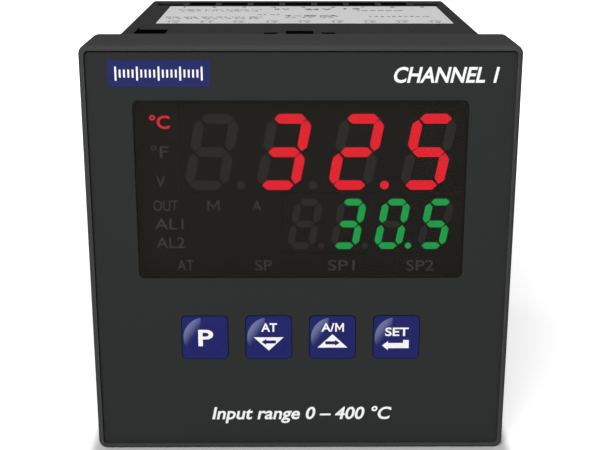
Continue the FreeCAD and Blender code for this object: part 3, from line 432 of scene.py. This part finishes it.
WHITE_INK = finish("white ink", srgb(240, 240, 240), 0.5, 5000.0, 0.003, change=0.03)
BLUE_INK = finish("blue ink", srgb(32, 36, 92), 0.5, 5000.0, 0.003, specular=0.12, change=0.04)
KEY_BLUE_INK = finish("key blue ink", srgb(22, 25, 94), 0.5, 5000.0, 0.003, specular=0.12, change=0.04)
BLACK_INK = finish("black ink", srgb(22, 22, 22), 0.5, 5000.0, 0.003)
GREY_INK = finish("grey ink", srgb(84, 84, 84), 0.5, 5000.0, 0.003)
LEGEND_LIT = lamp_finish("lit legend", srgb(222, 30, 46), 5.4, srgb(120, 20, 20))
# Unlit legends glow faintly: painted light, as no lamp lights them.
UNLIT_LEGEND_PAINTED_GLOW = lamp_finish("unlit legend", srgb(150, 150, 146), 0.36, srgb(190, 190, 184))

NODE_FINISH = {
    "rear_housing": CASE_BLACK, "front_bezel": BEZEL_BLACK, "panel_gasket": GASKET, "overlay_film": FILM,
    "display_filter": SMOKED, "red_display_case": CASE_DARK, "green_display_case": CASE_DARK,
    "red_segments_lit": RED_LIT, "green_segments_lit": GREEN_LIT, "red_segments_dark": UNLIT_SEGMENT_PAINTED_GLOW,
    "green_segments_dark": UNLIT_SEGMENT_PAINTED_GLOW, "legend_sheet": SHEET, "indicator_light_box": CASE_DARK,
    "indicator_lamps": BOBBIN, "display_board": BOARD, "upper_board": BOARD, "lower_board": BOARD,
    "upper_header": EPOXY, "lower_header": EPOXY, "upper_header_pins": TINNED, "lower_header_pins": TINNED,
    "upper_terminal_block": NYLON, "lower_terminal_block": NYLON, "upper_contact_strips": TINNED,
    "lower_contact_strips": TINNED, "upper_clamp_plates": ZINC, "lower_clamp_plates": ZINC,
    "upper_terminal_screws": ZINC, "lower_terminal_screws": ZINC, "transformer_core": CORE,
    "transformer_bobbin": BOBBIN, "transformer_winding": TAPE, "output_relay_front": RELAY,
    "output_relay_rear": RELAY, "smoothing_capacitor": CAN, "small_capacitors": CAN,
    "film_capacitor": DIPPED_RED, "varistor": DIPPED_BLUE, "fuse": EPOXY, "bridge_rectifier": EPOXY,
    "voltage_regulator": EPOXY, "processor_chip": EPOXY, "converter_chip": EPOXY, "crystal": CRYSTAL,
    "rating_label": PAPER,
}
for key in KEYS:
    low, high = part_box("key_" + key)
    NODE_FINISH["key_" + key] = key_finish("blue key " + key, (low + high) / 2)
    NODE_FINISH["plunger_" + key] = SWITCH
    NODE_FINISH["switch_base_" + key] = SWITCH

for name, material in NODE_FINISH.items():
    mesh = nodes[name].data
    mesh.materials.clear()
    mesh.materials.append(material)


# ---------------------------------------------------------------- mesh helpers
def facing_front(x, y, z):
    """Place for a flat shape drawn in X and Y that has to face -Y."""
    return Matrix.Translation((x, y, z)) @ Matrix.Rotation(math.pi / 2, 4, "X")


def facing_up(x, y, z):
    return Matrix.Translation((x, y, z))


def facing_back(x, y, z):
    return Matrix.Translation((x, y, z)) @ Matrix.Rotation(math.pi, 4, "Z") @ Matrix.Rotation(math.pi / 2, 4, "X")


def text_mesh(words, height, width=None, bold=0.0, slant=0.0, depth=INK):
    """Letters as a mesh centred on the origin, with a given height of capitals and overall width."""
    curve = bpy.data.curves.new("letters", "FONT")
    curve.body = words
    curve.size = 1.0
    curve.offset = bold
    curve.resolution_u = 4
    holder = bpy.data.objects.new("letters", curve)
    bpy.context.scene.collection.objects.link(holder)
    bpy.context.view_layer.update()
    made = bpy.data.meshes.new_from_object(holder.evaluated_get(bpy.context.evaluated_depsgraph_get()))
    bpy.data.objects.remove(holder)
    bpy.data.curves.remove(curve)
    xs = [v.co.x for v in made.vertices]
    ys = [v.co.y for v in made.vertices]
    tall = height / (max(ys) - min(ys))
    wide = tall if width is None else width / (max(xs) - min(xs))
    middle = Vector(((max(xs) + min(xs)) / 2, (max(ys) + min(ys)) / 2, 0.0))
    for vertex in made.vertices:
        at = vertex.co - middle
        vertex.co = Vector((at.x * wide + at.y * tall * slant, at.y * tall, 0.0))
    return thickened(made, depth)


def thickened(flat, depth):
    """A flat mesh in the XY plane given a depth along +Z, closed all round."""
    bm = bmesh.new()
    bm.from_mesh(flat)
    bmesh.ops.remove_doubles(bm, verts=bm.verts, dist=1e-7)
    top = bmesh.ops.extrude_face_region(bm, geom=bm.faces[:])
    moved = [item for item in top["geom"] if isinstance(item, bmesh.types.BMVert)]
    bmesh.ops.translate(bm, verts=moved, vec=(0.0, 0.0, depth))
    bmesh.ops.recalc_face_normals(bm, faces=bm.faces)
    for face in bm.faces:
        face.smooth = False
    bm.to_mesh(flat)
    bm.free()
    return flat


def outline_mesh(points, depth=INK):
    """A closed outline of (x, y) points in the XY plane given a depth."""
    mesh = bpy.data.meshes.new("outline")
    mesh.from_pydata([(x, y, 0.0) for x, y in points], [], [tuple(range(len(points)))])
    return thickened(mesh, depth)


def strip_mesh(width, height, radius=0.0, depth=INK, x=0.0, y=0.0):
    """A rectangle with rounded corners round (x, y)."""
    points = []
    for turn in range(4):
        corner = math.pi / 2 * turn
        sx = 1 if turn in (0, 3) else -1
        sy = 1 if turn in (0, 1) else -1
        for step in range(5 if radius else 1):
            angle = corner + math.pi / 8 * step
            points.append((
                x + sx * (width / 2 - radius) + radius * math.cos(angle),
                y + sy * (height / 2 - radius) + radius * math.sin(angle),
            ))
    return outline_mesh(points, depth)


def joined(name, meshes, material, body=CASE):
    """One piece made of several meshes, each paired with its place."""
    bm = bmesh.new()
    for mesh, place in meshes:
        mesh.transform(place)
        bm.from_mesh(mesh)
        bpy.data.meshes.remove(mesh)
    whole = bpy.data.meshes.new(name)
    bm.to_mesh(whole)
    bm.free()
    return piece(name, whole, material, body)


def piece(name, mesh, material, body=CASE):
    mesh.materials.clear()
    mesh.materials.append(material)
    made = bpy.data.objects.new(name, mesh)
    bpy.context.scene.collection.objects.link(made)
    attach(made, body)
    return made


# ---------------------------------------------------------------- geometry node trees
def geometry_tree(name, inputs):
    """An empty geometry tree with named inputs, its helper, its input node and its output node."""
    group = bpy.data.node_groups.new(name, "GeometryNodeTree")
    group.interface.new_socket("Geometry", in_out="OUTPUT", socket_type="NodeSocketGeometry")
    for label, kind, value in inputs:
        socket = group.interface.new_socket(label, in_out="INPUT", socket_type=kind)
        if value is not None:
            socket.default_value = value
    inner = Tree(group)
    return group, inner, inner.add("NodeGroupInput"), inner.add("NodeGroupOutput")


def grown(name, group, **values):
    """The plain mesh that a geometry tree makes with these inputs."""
    holder = bpy.data.objects.new(name, bpy.data.meshes.new(name))
    bpy.context.scene.collection.objects.link(holder)
    modifier = holder.modifiers.new("grow", "NODES")
    modifier.node_group = group
    for item in group.interface.items_tree:
        key_name = item.name.replace(" ", "_").lower()
        if item.in_out == "INPUT" and key_name in values:
            modifier[item.identifier] = values[key_name]
    bpy.context.view_layer.update()
    evaluated = holder.evaluated_get(bpy.context.evaluated_depsgraph_get())
    mesh = bpy.data.meshes.new_from_object(evaluated)
    holder.modifiers.remove(modifier)
    bpy.data.objects.remove(holder)
    return mesh


def row_of_copies(inner, entry, result, count, instance, material, **turned):
    """Set copies out in a line along X at the tree's pitch, make them real, paint them and hand them over."""
    line = inner.add("GeometryNodeMeshLine")
    inner.link(entry.outputs[count], line.inputs["Count"])
    inner.link(inner.vector(X=entry.outputs["Pitch"]), line.inputs["Offset"])
    copies = inner.add("GeometryNodeInstanceOnPoints")
    inner.link(line.outputs["Mesh"], copies.inputs["Points"])
    inner.link(instance, copies.inputs["Instance"])
    for name, value in turned.items():
        inner.link(value, copies.inputs[name])
    realized = inner.add("GeometryNodeRealizeInstances")
    inner.link(copies.outputs["Instances"], realized.inputs["Geometry"])
    painted = inner.add("GeometryNodeSetMaterial")
    inner.link(realized.outputs["Geometry"], painted.inputs["Geometry"])
    inner.link(entry.outputs[material], painted.inputs["Material"])
    inner.link(painted.outputs["Geometry"], result.inputs["Geometry"])


def tick_row_tree():
    """A row of upright ticks, every fifth one taller."""
    group, inner, entry, result = geometry_tree("tick row", (
        ("Ticks", "NodeSocketInt", 21),
        ("Pitch", "NodeSocketFloat", 0.0007),
        ("Width", "NodeSocketFloat", 0.0002),
        ("Height", "NodeSocketFloat", 0.0012),
        ("Tall", "NodeSocketFloat", 1.7),
        ("Depth", "NodeSocketFloat", 0.00002),
        ("Ink", "NodeSocketMaterial", None),
    ))
    tick = inner.add("GeometryNodeMeshCube")
    size = inner.vector(X=entry.outputs["Width"], Y=entry.outputs["Height"], Z=entry.outputs["Depth"])
    inner.link(size, tick.inputs["Size"])
    index = inner.add("GeometryNodeInputIndex").outputs["Index"]
    rest = inner.math("MODULO", index, 5.0)
    fifth = inner.math("LESS_THAN", rest, 0.5)
    extra = inner.math("MULTIPLY", fifth, inner.math("SUBTRACT", entry.outputs["Tall"], 1.0))
    scale = inner.vector(X=1.0, Y=inner.math("ADD", 1.0, extra), Z=1.0)
    row_of_copies(inner, entry, result, "Ticks", tick.outputs["Mesh"], "Ink", Scale=scale)
    return group


THREADED_SHARE = 0.94         # of the shank's length
TURN_SEED = 7                 # of the screws' slots


def terminal_screw_tree():
    """A row of slotted screws with rolled threads, heads towards +Z, in a line along X."""
    group, inner, entry, result = geometry_tree("terminal screw row", (
        ("Ways", "NodeSocketInt", WAYS),
        ("Pitch", "NodeSocketFloat", 0.0072),
        ("Head radius", "NodeSocketFloat", 0.0025),
        ("Head height", "NodeSocketFloat", 0.0018),
        ("Shank radius", "NodeSocketFloat", 0.0015),
        ("Shank length", "NodeSocketFloat", 0.008),
        ("Thread pitch", "NodeSocketFloat", 0.0005),
        ("Slot width", "NodeSocketFloat", 0.0008),
        ("Slot depth", "NodeSocketFloat", 0.0009),
        ("Metal", "NodeSocketMaterial", None),
    ))
    head = inner.add("GeometryNodeMeshCylinder")
    head.inputs["Vertices"].default_value = 48
    inner.link(entry.outputs["Head radius"], head.inputs["Radius"])
    inner.link(entry.outputs["Head height"], head.inputs["Depth"])
    slot_box = inner.add("GeometryNodeMeshCube")
    size = inner.vector(
        X=inner.math("MULTIPLY", entry.outputs["Head radius"], 3.0), Y=entry.outputs["Slot width"],
        Z=inner.math("MULTIPLY", entry.outputs["Slot depth"], 2.0),
    )
    inner.link(size, slot_box.inputs["Size"])
    half_head = inner.math("MULTIPLY", entry.outputs["Head height"], 0.5)
    raised = lifted(inner, slot_box.outputs["Mesh"], half_head)
    cut = inner.add("GeometryNodeMeshBoolean", operation="DIFFERENCE", solver="EXACT")
    inner.link(head.outputs["Mesh"], cut.inputs["Mesh 1"])
    inner.link(raised, cut.inputs["Mesh 2"])
    head_up = lifted(inner, cut.outputs["Mesh"], half_head)
    core = inner.add("GeometryNodeMeshCylinder")
    core.inputs["Vertices"].default_value = 24
    thread_pitch = entry.outputs["Thread pitch"]
    shank_radius = entry.outputs["Shank radius"]
    threaded = inner.math("MULTIPLY", entry.outputs["Shank length"], THREADED_SHARE)
    root = inner.math("SUBTRACT", shank_radius, inner.math("MULTIPLY", thread_pitch, 0.6))
    inner.link(root, core.inputs["Radius"])
    inner.link(entry.outputs["Shank length"], core.inputs["Depth"])
    half_shank = inner.math("MULTIPLY", entry.outputs["Shank length"], -0.5)
    core_down = lifted(inner, core.outputs["Mesh"], half_shank)
    helix = inner.add("GeometryNodeCurveSpiral")
    helix.inputs["Resolution"].default_value = 20
    inner.link(inner.math("DIVIDE", threaded, thread_pitch), helix.inputs["Rotations"])
    middle = inner.math("SUBTRACT", shank_radius, inner.math("MULTIPLY", thread_pitch, 0.5))
    inner.link(middle, helix.inputs["Start Radius"])
    inner.link(middle, helix.inputs["End Radius"])
    inner.link(threaded, helix.inputs["Height"])
    ridge = inner.add("GeometryNodeCurvePrimitiveCircle", mode="RADIUS")
    ridge.inputs["Resolution"].default_value = 4
    inner.link(inner.math("MULTIPLY", thread_pitch, 0.48), ridge.inputs["Radius"])
    sweep = inner.add("GeometryNodeCurveToMesh")
    inner.link(helix.outputs["Curve"], sweep.inputs["Curve"])
    inner.link(ridge.outputs["Curve"], sweep.inputs["Profile Curve"])
    sweep.inputs["Fill Caps"].default_value = True
    thread = lifted(inner, sweep.outputs["Mesh"], inner.math("MULTIPLY", entry.outputs["Shank length"], -0.97))
    screw = inner.add("GeometryNodeJoinGeometry")
    for part in (thread, core_down, head_up):
        inner.link(part, screw.inputs["Geometry"])
    turn = inner.add("FunctionNodeRandomValue", data_type="FLOAT")
    turn.inputs["Min"].default_value = 0.0
    turn.inputs["Max"].default_value = math.pi
    turn.inputs["Seed"].default_value = TURN_SEED
    angles = inner.vector(Z=turn.outputs[1])
    row_of_copies(inner, entry, result, "Ways", screw.outputs["Geometry"], "Metal", Rotation=angles)
    return group


def lifted(inner, geometry, height):
    """Geometry moved along Z inside a tree."""
    move = inner.add("GeometryNodeTransform")
    inner.link(geometry, move.inputs["Geometry"])
    inner.link(inner.vector(Z=height), move.inputs["Translation"])
    return move.outputs["Geometry"]


# ---------------------------------------------------------------- front prints
def front_words():
    """White words and the blue plate with its tick scale on the film."""
    top_z = CENTRE_Z + 31.1 * MM
    channel = text_mesh("CHANNEL 1", 2.65 * MM, 16.9 * MM, bold=0.022, slant=0.2)
    joined("channel_words", [(channel, facing_front(23.6 * MM, FILM_FACE, top_z))], WHITE_INK)
    span = text_mesh("Input range 0 – 400 °C", 3.3 * MM, 31.4 * MM, bold=0.02, slant=0.2)
    bottom_z = CENTRE_Z - 29.6 * MM
    joined("range_words", [(span, facing_front(0.2 * MM, FILM_FACE, bottom_z))], WHITE_INK)
    plate_x = -23.1 * MM
    plate_z = CENTRE_Z + 31.33 * MM
    plate = strip_mesh(16.6 * MM, 4.35 * MM, 0.25 * MM)
    joined("scale_plate", [(plate, facing_front(plate_x, FILM_FACE, plate_z))], BLUE_INK)
    ticks = grown("scale_ticks", tick_row_tree(), ticks=21, pitch=0.7 * MM, width=0.3 * MM, height=1.3 * MM,
                  tall=1.75, depth=2 * INK, ink=WHITE_INK)
    ticks.transform(facing_front(plate_x - 7.0 * MM, FILM_FACE - INK, plate_z))
    piece("scale_ticks", ticks, WHITE_INK)


def key_legends():
    """White legends on the raised pads, each riding with its key."""
    for key in KEYS:
        low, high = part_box("key_" + key)
        middle = (low + high) / 2

        def at(x, z, layer=0.0):
            return facing_front(middle.x + x * MM, low.y - layer, middle.z + z * MM)

        body = key + "_key"
        white = []
        blue = []
        if key == "program":
            white.append((text_mesh("P", 3.05 * MM, 2.6 * MM, bold=0.02), at(0.15, -0.02)))
        if key == "down":
            white.append((text_mesh("AT", 1.6 * MM, 2.75 * MM, bold=0.022), at(0.08, 1.92)))
            white.append((outline_mesh(triangle(5.2, -2.5)), at(0.0, 0.1)))
            blue.append((outline_mesh(arrow(2.5, -1)), at(0.0, -0.78, INK)))
        if key == "up":
            white.append((text_mesh("A/", 1.6 * MM, 2.25 * MM, bold=0.022), at(-0.82, 1.92)))
            white.append((outline_mesh(letter_m(1.5, 1.6, 0.27)), at(1.2, 1.92)))
            white.append((outline_mesh(triangle(5.2, 2.5)), at(0.0, -1.85)))
            blue.append((outline_mesh(arrow(2.5, 1)), at(0.0, -0.95, INK)))
        if key == "set":
            white.append((text_mesh("SET", 1.6 * MM, 4.1 * MM, bold=0.022), at(0.1, 1.08)))
            white.append((outline_mesh(enter_arrow()), at(0.0, -1.5)))
        joined("legend_" + key, white, WHITE_INK, body)
        if blue:
            joined("legend_arrow_" + key, blue, KEY_BLUE_INK, body)


def letter_m(width, height, stroke):
    """Capital M with straight strokes, centred on zero."""
    half = width / 2
    top = height / 2
    valley = -height * 0.2
    left = [
        (-half, -top), (-half + stroke, -top), (-half + stroke, top - 2.0 * stroke), (0.0, valley - 0.8 * stroke),
    ]
    right = [(-x, y) for x, y in reversed(left[:3])]
    upper = [(half, top), (half - stroke, top), (0.0, valley + 0.9 * stroke), (-half + stroke, top), (-half, top)]
    return [(x * MM, y * MM) for x, y in left + right + upper]


def triangle(width, height):
    """Flat side at zero, point at the given height."""
    half = width / 2 * MM
    return [(-half, 0.0), (half, 0.0), (0.0, height * MM)]


def arrow(length, side):
    """Straight arrow centred on zero that points to the given side."""
    tip = length / 2 * side * MM
    neck = tip - 0.8 * side * MM
    return [
        (tip, 0.0), (neck, 0.55 * MM), (neck, 0.28 * MM), (-tip, 0.28 * MM),
        (-tip, -0.28 * MM), (neck, -0.28 * MM), (neck, -0.55 * MM),
    ]


def enter_arrow():
    """Arrow to the left with its tail turned up."""
    return [
        (-2.45 * MM, 0.0), (-1.4 * MM, 0.85 * MM), (-1.4 * MM, 0.48 * MM), (1.2 * MM, 0.48 * MM),
        (1.2 * MM, 1.05 * MM), (2.2 * MM, 1.05 * MM), (2.2 * MM, -0.48 * MM), (-1.4 * MM, -0.48 * MM),
        (-1.4 * MM, -0.85 * MM),
    ]


# Legends in the display window: words, sideways and upward place from the middle, width, height
LEGENDS = (
    ("°F", -23.73, 17.66, 2.95, 2.15),
    ("V", -23.67, 12.49, 1.6, 2.05),
    ("OUT", -23.0, 8.24, 4.2, 1.9),
    ("M", -14.87, 8.22, 2.1, 1.95),
    ("A", -7.46, 8.22, 1.55, 1.95),
    ("AL1", -22.48, 4.98, 4.9, 1.95),
    ("AL2", -22.35, 1.61, 4.9, 1.95),
    ("AT", -19.88, -2.5, 2.95, 1.95),
    ("SP", -6.42, -2.52, 3.0, 1.95),
    ("SP1", 7.04, -2.53, 4.6, 1.95),
    ("SP2", 20.68, -2.56, 4.8, 1.95),
)


def window_legends():
    """Legends on the sheet behind the window: one lit, the others resting, with a faint painted glow."""
    lit = text_mesh("°C", 2.4 * MM, 3.4 * MM, bold=0.02)
    place = facing_front(-23.56 * MM, SHEET_FACE, CENTRE_Z + 22.76 * MM)
    joined("legend_lit", [(lit, place)], LEGEND_LIT)
    resting_with_painted_glow = []
    for words, x, rise, width, height in LEGENDS:
        if words == "M":
            made = outline_mesh(letter_m(width, height, 0.28))
        else:
            made = text_mesh(words, height * MM, width * MM, bold=0.004)
        resting_with_painted_glow.append((made, facing_front(x * MM, SHEET_FACE, CENTRE_Z + rise * MM)))
    joined("legends_dark", resting_with_painted_glow, UNLIT_LEGEND_PAINTED_GLOW)


# ---------------------------------------------------------------- housing prints and terminals
def way_places():
    """Sideways places of the nine terminal ways, from the frame's screws."""
    head = screws_high.z - screws_low.z
    pitch = (screws_high.x - screws_low.x - head) / (WAYS - 1)
    return [(way - (WAYS - 1) // 2) * pitch for way in range(WAYS)]


# Lines on the label: words, sideways place, place from the front edge, width, height of the figures
LABEL_LINES = (
    ("4 – 20 mA", 2.6, 11.6, 11.2, 2.5),
    ("24 V", 4.3, 23.1, 5.9, 2.7),
    ("0 V", -3.6, 23.4, 3.4, 2.2),
    ("1 2", 11.6, 24.2, 3.6, 2.2),
)
LABEL_SMALL_LINES = (
    ("0 – 400 °C   0 – 10 V   4 – 20 mA   1 – 9", -16.9, 22.2, 18.0, 1.5),
    ("0 – 200 °C   0 – 5 V   0 – 20 mA   10 – 18", -16.9, 20.0, 16.5, 1.5),
    ("50 Hz   60 Hz   24 V   48 V   110 V   230 V", -17.4, 9.3, 20.0, 1.5),
    ("0.1 °C   0.2 °C   0.5 °C   1 °C   2 °C   5 °C", -17.4, 7.1, 18.5, 1.5),
    ("1 2 3 4 5 6 7 8 9 10", 20.8, 10.4, 12.4, 1.5),
    ("0 20 40 60 80 100", 17.4, 20.8, 10.0, 1.3),
    ("10 %   90 %", -6.3, 13.4, 4.6, 1.3),
    ("2 A   5 A   10 A", 2.2, 8.6, 10.0, 1.2),
)


def label_print():
    """Terminal plan with its numbers, and lines of plain figures on the rating label."""
    face = label_high.z
    marks = []
    small = []
    for way in range(WAYS):
        x = label_low.x + (label_high.x - label_low.x) * (way + 0.5) / WAYS
        rear = text_mesh(str(way + 1), 1.7 * MM, bold=0.01)
        marks.append((rear, facing_up(x, label_high.y - 1.6 * MM, face)))
        front = text_mesh(str(way + WAYS + 1), 1.5 * MM, 1.9 * MM, bold=0.01)
        small.append((front, facing_up(x, label_low.y + 1.3 * MM, face)))
        small.append((arch_mesh(1.3 * MM, 0.35 * MM), facing_up(x, label_low.y + 2.6 * MM, face)))
    for lines, ink in ((LABEL_LINES, marks), (LABEL_SMALL_LINES, small)):
        for words, x, from_front, width, height in lines:
            made = text_mesh(words, height * MM, width * MM, bold=0.05)
            ink.append((made, facing_up(x * MM, label_low.y + from_front * MM, face)))
    joined("label_print", marks, BLACK_INK)
    joined("label_small_print", small, GREY_INK)


def arch_mesh(radius, line):
    """Half ring, open towards -Y, as on a terminal plan."""
    turns = [math.pi * step / 8 for step in range(9)]
    outer = [(radius * math.cos(turn), radius * math.sin(turn)) for turn in turns]
    inner = [((radius - line) * math.cos(turn), (radius - line) * math.sin(turn)) for turn in reversed(turns)]
    return outline_mesh(outer + inner)


def terminal_numbers():
    """White terminal numbers on the rear wall, between the screw rows."""
    marks = []
    top_z = screws_low.z - 3.0 * MM
    bottom_z = 2 * CENTRE_Z - top_z
    for way, x in enumerate(way_places()):
        marks.append((text_mesh(str(WAYS - way), 2.0 * MM, bold=0.01), facing_back(x, REAR_PANEL, top_z)))
        marks.append((text_mesh(str(2 * WAYS - way), 2.0 * MM, bold=0.01), facing_back(x, REAR_PANEL, bottom_z)))
    joined("terminal_numbers", marks, WHITE_INK)


def terminal_screws():
    """Slotted, threaded screws in place of the plain ones."""
    tree = terminal_screw_tree()
    for row in ("upper", "lower"):
        node = row + "_terminal_screws"
        low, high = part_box(node)
        head = high.z - low.z
        pitch = (high.x - low.x - head) / (WAYS - 1)
        mesh = grown(
            node, tree, ways=WAYS, pitch=pitch, head_radius=head / 2, head_height=SCREW_HEAD_HEIGHT,
            shank_radius=head * SHANK_SHARE, shank_length=high.y - low.y - SCREW_HEAD_HEIGHT, metal=ZINC,
        )
        seat = high.y - SCREW_HEAD_HEIGHT
        centre_z = (low.z + high.z) / 2
        first = -(WAYS - 1) // 2 * pitch
        stand = Matrix.Translation((first, seat, centre_z)) @ Matrix.Rotation(-math.pi / 2, 4, "X")
        mesh.transform(stand)
        made = piece("threaded_screws_" + row, mesh, ZINC)
        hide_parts(node)


front_words()
key_legends()
window_legends()
label_print()
terminal_numbers()
terminal_screws()


# ---------------------------------------------------------------- floor, world and lamps
def seen_directly(tree):
    """One for what the camera sees straight, in a gloss or through a clear sheet, else zero."""
    path = tree.add("ShaderNodeLightPath")
    seen = tree.math("MAXIMUM", path.outputs["Is Camera Ray"], path.outputs["Is Transmission Ray"])
    return tree.math("MAXIMUM", seen, path.outputs["Is Glossy Ray"])


def make_floor():
    """A pale floor that reads as white and keeps the object's shadow; its glow to the eye fades out towards the
    object's footprint, a painted darker rim round the object on top of the real shadow.
    """
    mesh = bpy.data.meshes.new("floor")
    reach = 4.0
    corners = [(-reach, -reach, 0), (reach, -reach, 0), (reach, reach, 0), (-reach, reach, 0)]
    mesh.from_pydata(corners, [], [(0, 1, 2, 3)])
    floor = bpy.data.objects.new("floor", mesh)
    bpy.context.scene.collection.objects.link(floor)
    material, tree, shader = new_material("pale floor")
    shader.inputs["Base Color"].default_value = (0.66, 0.66, 0.66, 1.0)
    shader.inputs["Roughness"].default_value = 0.9
    shader.inputs["Specular IOR Level"].default_value = 0.0
    shader.inputs["Emission Color"].default_value = (1.0, 1.0, 1.0, 1.0)
    split = tree.add("ShaderNodeSeparateXYZ")
    tree.link(tree.add("ShaderNodeTexCoord").outputs["Object"], split.inputs["Vector"])
    past = []
    for axis, reach, steep in (("X", cad_high.x, 3.0), ("Y", cad_high.y, 1.0)):
        away = tree.math("SUBTRACT", tree.math("ABSOLUTE", split.outputs[axis]), reach)
        away = tree.math("MULTIPLY", tree.math("MAXIMUM", away, 0.0), steep)
        past.append(tree.math("MULTIPLY", away, away))
    distance = tree.math("SQRT", tree.math("ADD", *past))
    # Painted shade: no glow at the object's footprint, rising over the rim's width and again far off, so the floor
    # is darker round the object.
    glow_past_painted_rim = tree.ramp(distance, 0.0, PAINTED_SHADOW_RIM, 0.0, FLOOR_GLOW)
    far = tree.ramp(distance, 20.0 * MM, 300.0 * MM, 0.0, 0.5)
    glow = tree.math("ADD", glow_past_painted_rim, far)
    tree.link(tree.math("MULTIPLY", seen_directly(tree), glow), shader.inputs["Emission Strength"])
    mesh.materials.append(material)
    floor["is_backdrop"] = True


def make_world():
    """White to the eye, soft grey as a light."""
    world = bpy.data.worlds.new("studio")
    bpy.context.scene.world = world
    world.use_nodes = True
    tree = Tree(world.node_tree)
    background = world.node_tree.nodes["Background"]
    background.inputs["Color"].default_value = (1.0, 1.0, 1.0, 1.0)
    strength = tree.math("ADD", tree.math("MULTIPLY", seen_directly(tree), 1.0 - WORLD_LIGHT), WORLD_LIGHT)
    tree.link(strength, background.inputs["Strength"])


def make_lamp(name, place, target, size, power):
    data = bpy.data.lights.new(name, "AREA")
    data.shape = "RECTANGLE"
    data.size = size[0]
    data.size_y = size[1]
    data.energy = power
    lamp = bpy.data.objects.new(name, data)
    bpy.context.scene.collection.objects.link(lamp)
    lamp.location = place
    lamp.rotation_euler = (Vector(target) - Vector(place)).to_track_quat("-Z", "Y").to_euler()


FLOOR_GLOW = 0.60             # light that the floor gives off to the eye only
PAINTED_SHADOW_RIM = 7.0 * MM       # width of the painted dark rim round the object, where the floor's glow to the eye fades out
WORLD_LIGHT = 0.15            # light of the surroundings on the object
make_floor()
make_world()
aim = (0.0, -0.02, 0.04)
make_lamp("front lamp", (-0.22, -0.86, 0.66), aim, (0.5, 0.4), 10.5)
make_lamp("top lamp", (-0.05, 0.12, 0.8), aim, (0.5, 0.4), 0.3)
for name, side, power in (("left back lamp", -0.8, 4.6), ("right back lamp", 0.8, 4.0)):
    make_lamp(name, (side, 0.7, 0.25), aim, (0.5, 0.4), power)
bpy.context.scene.view_settings.view_transform = "Standard"

# ---------------------------------------------------------------- sizes
low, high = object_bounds()
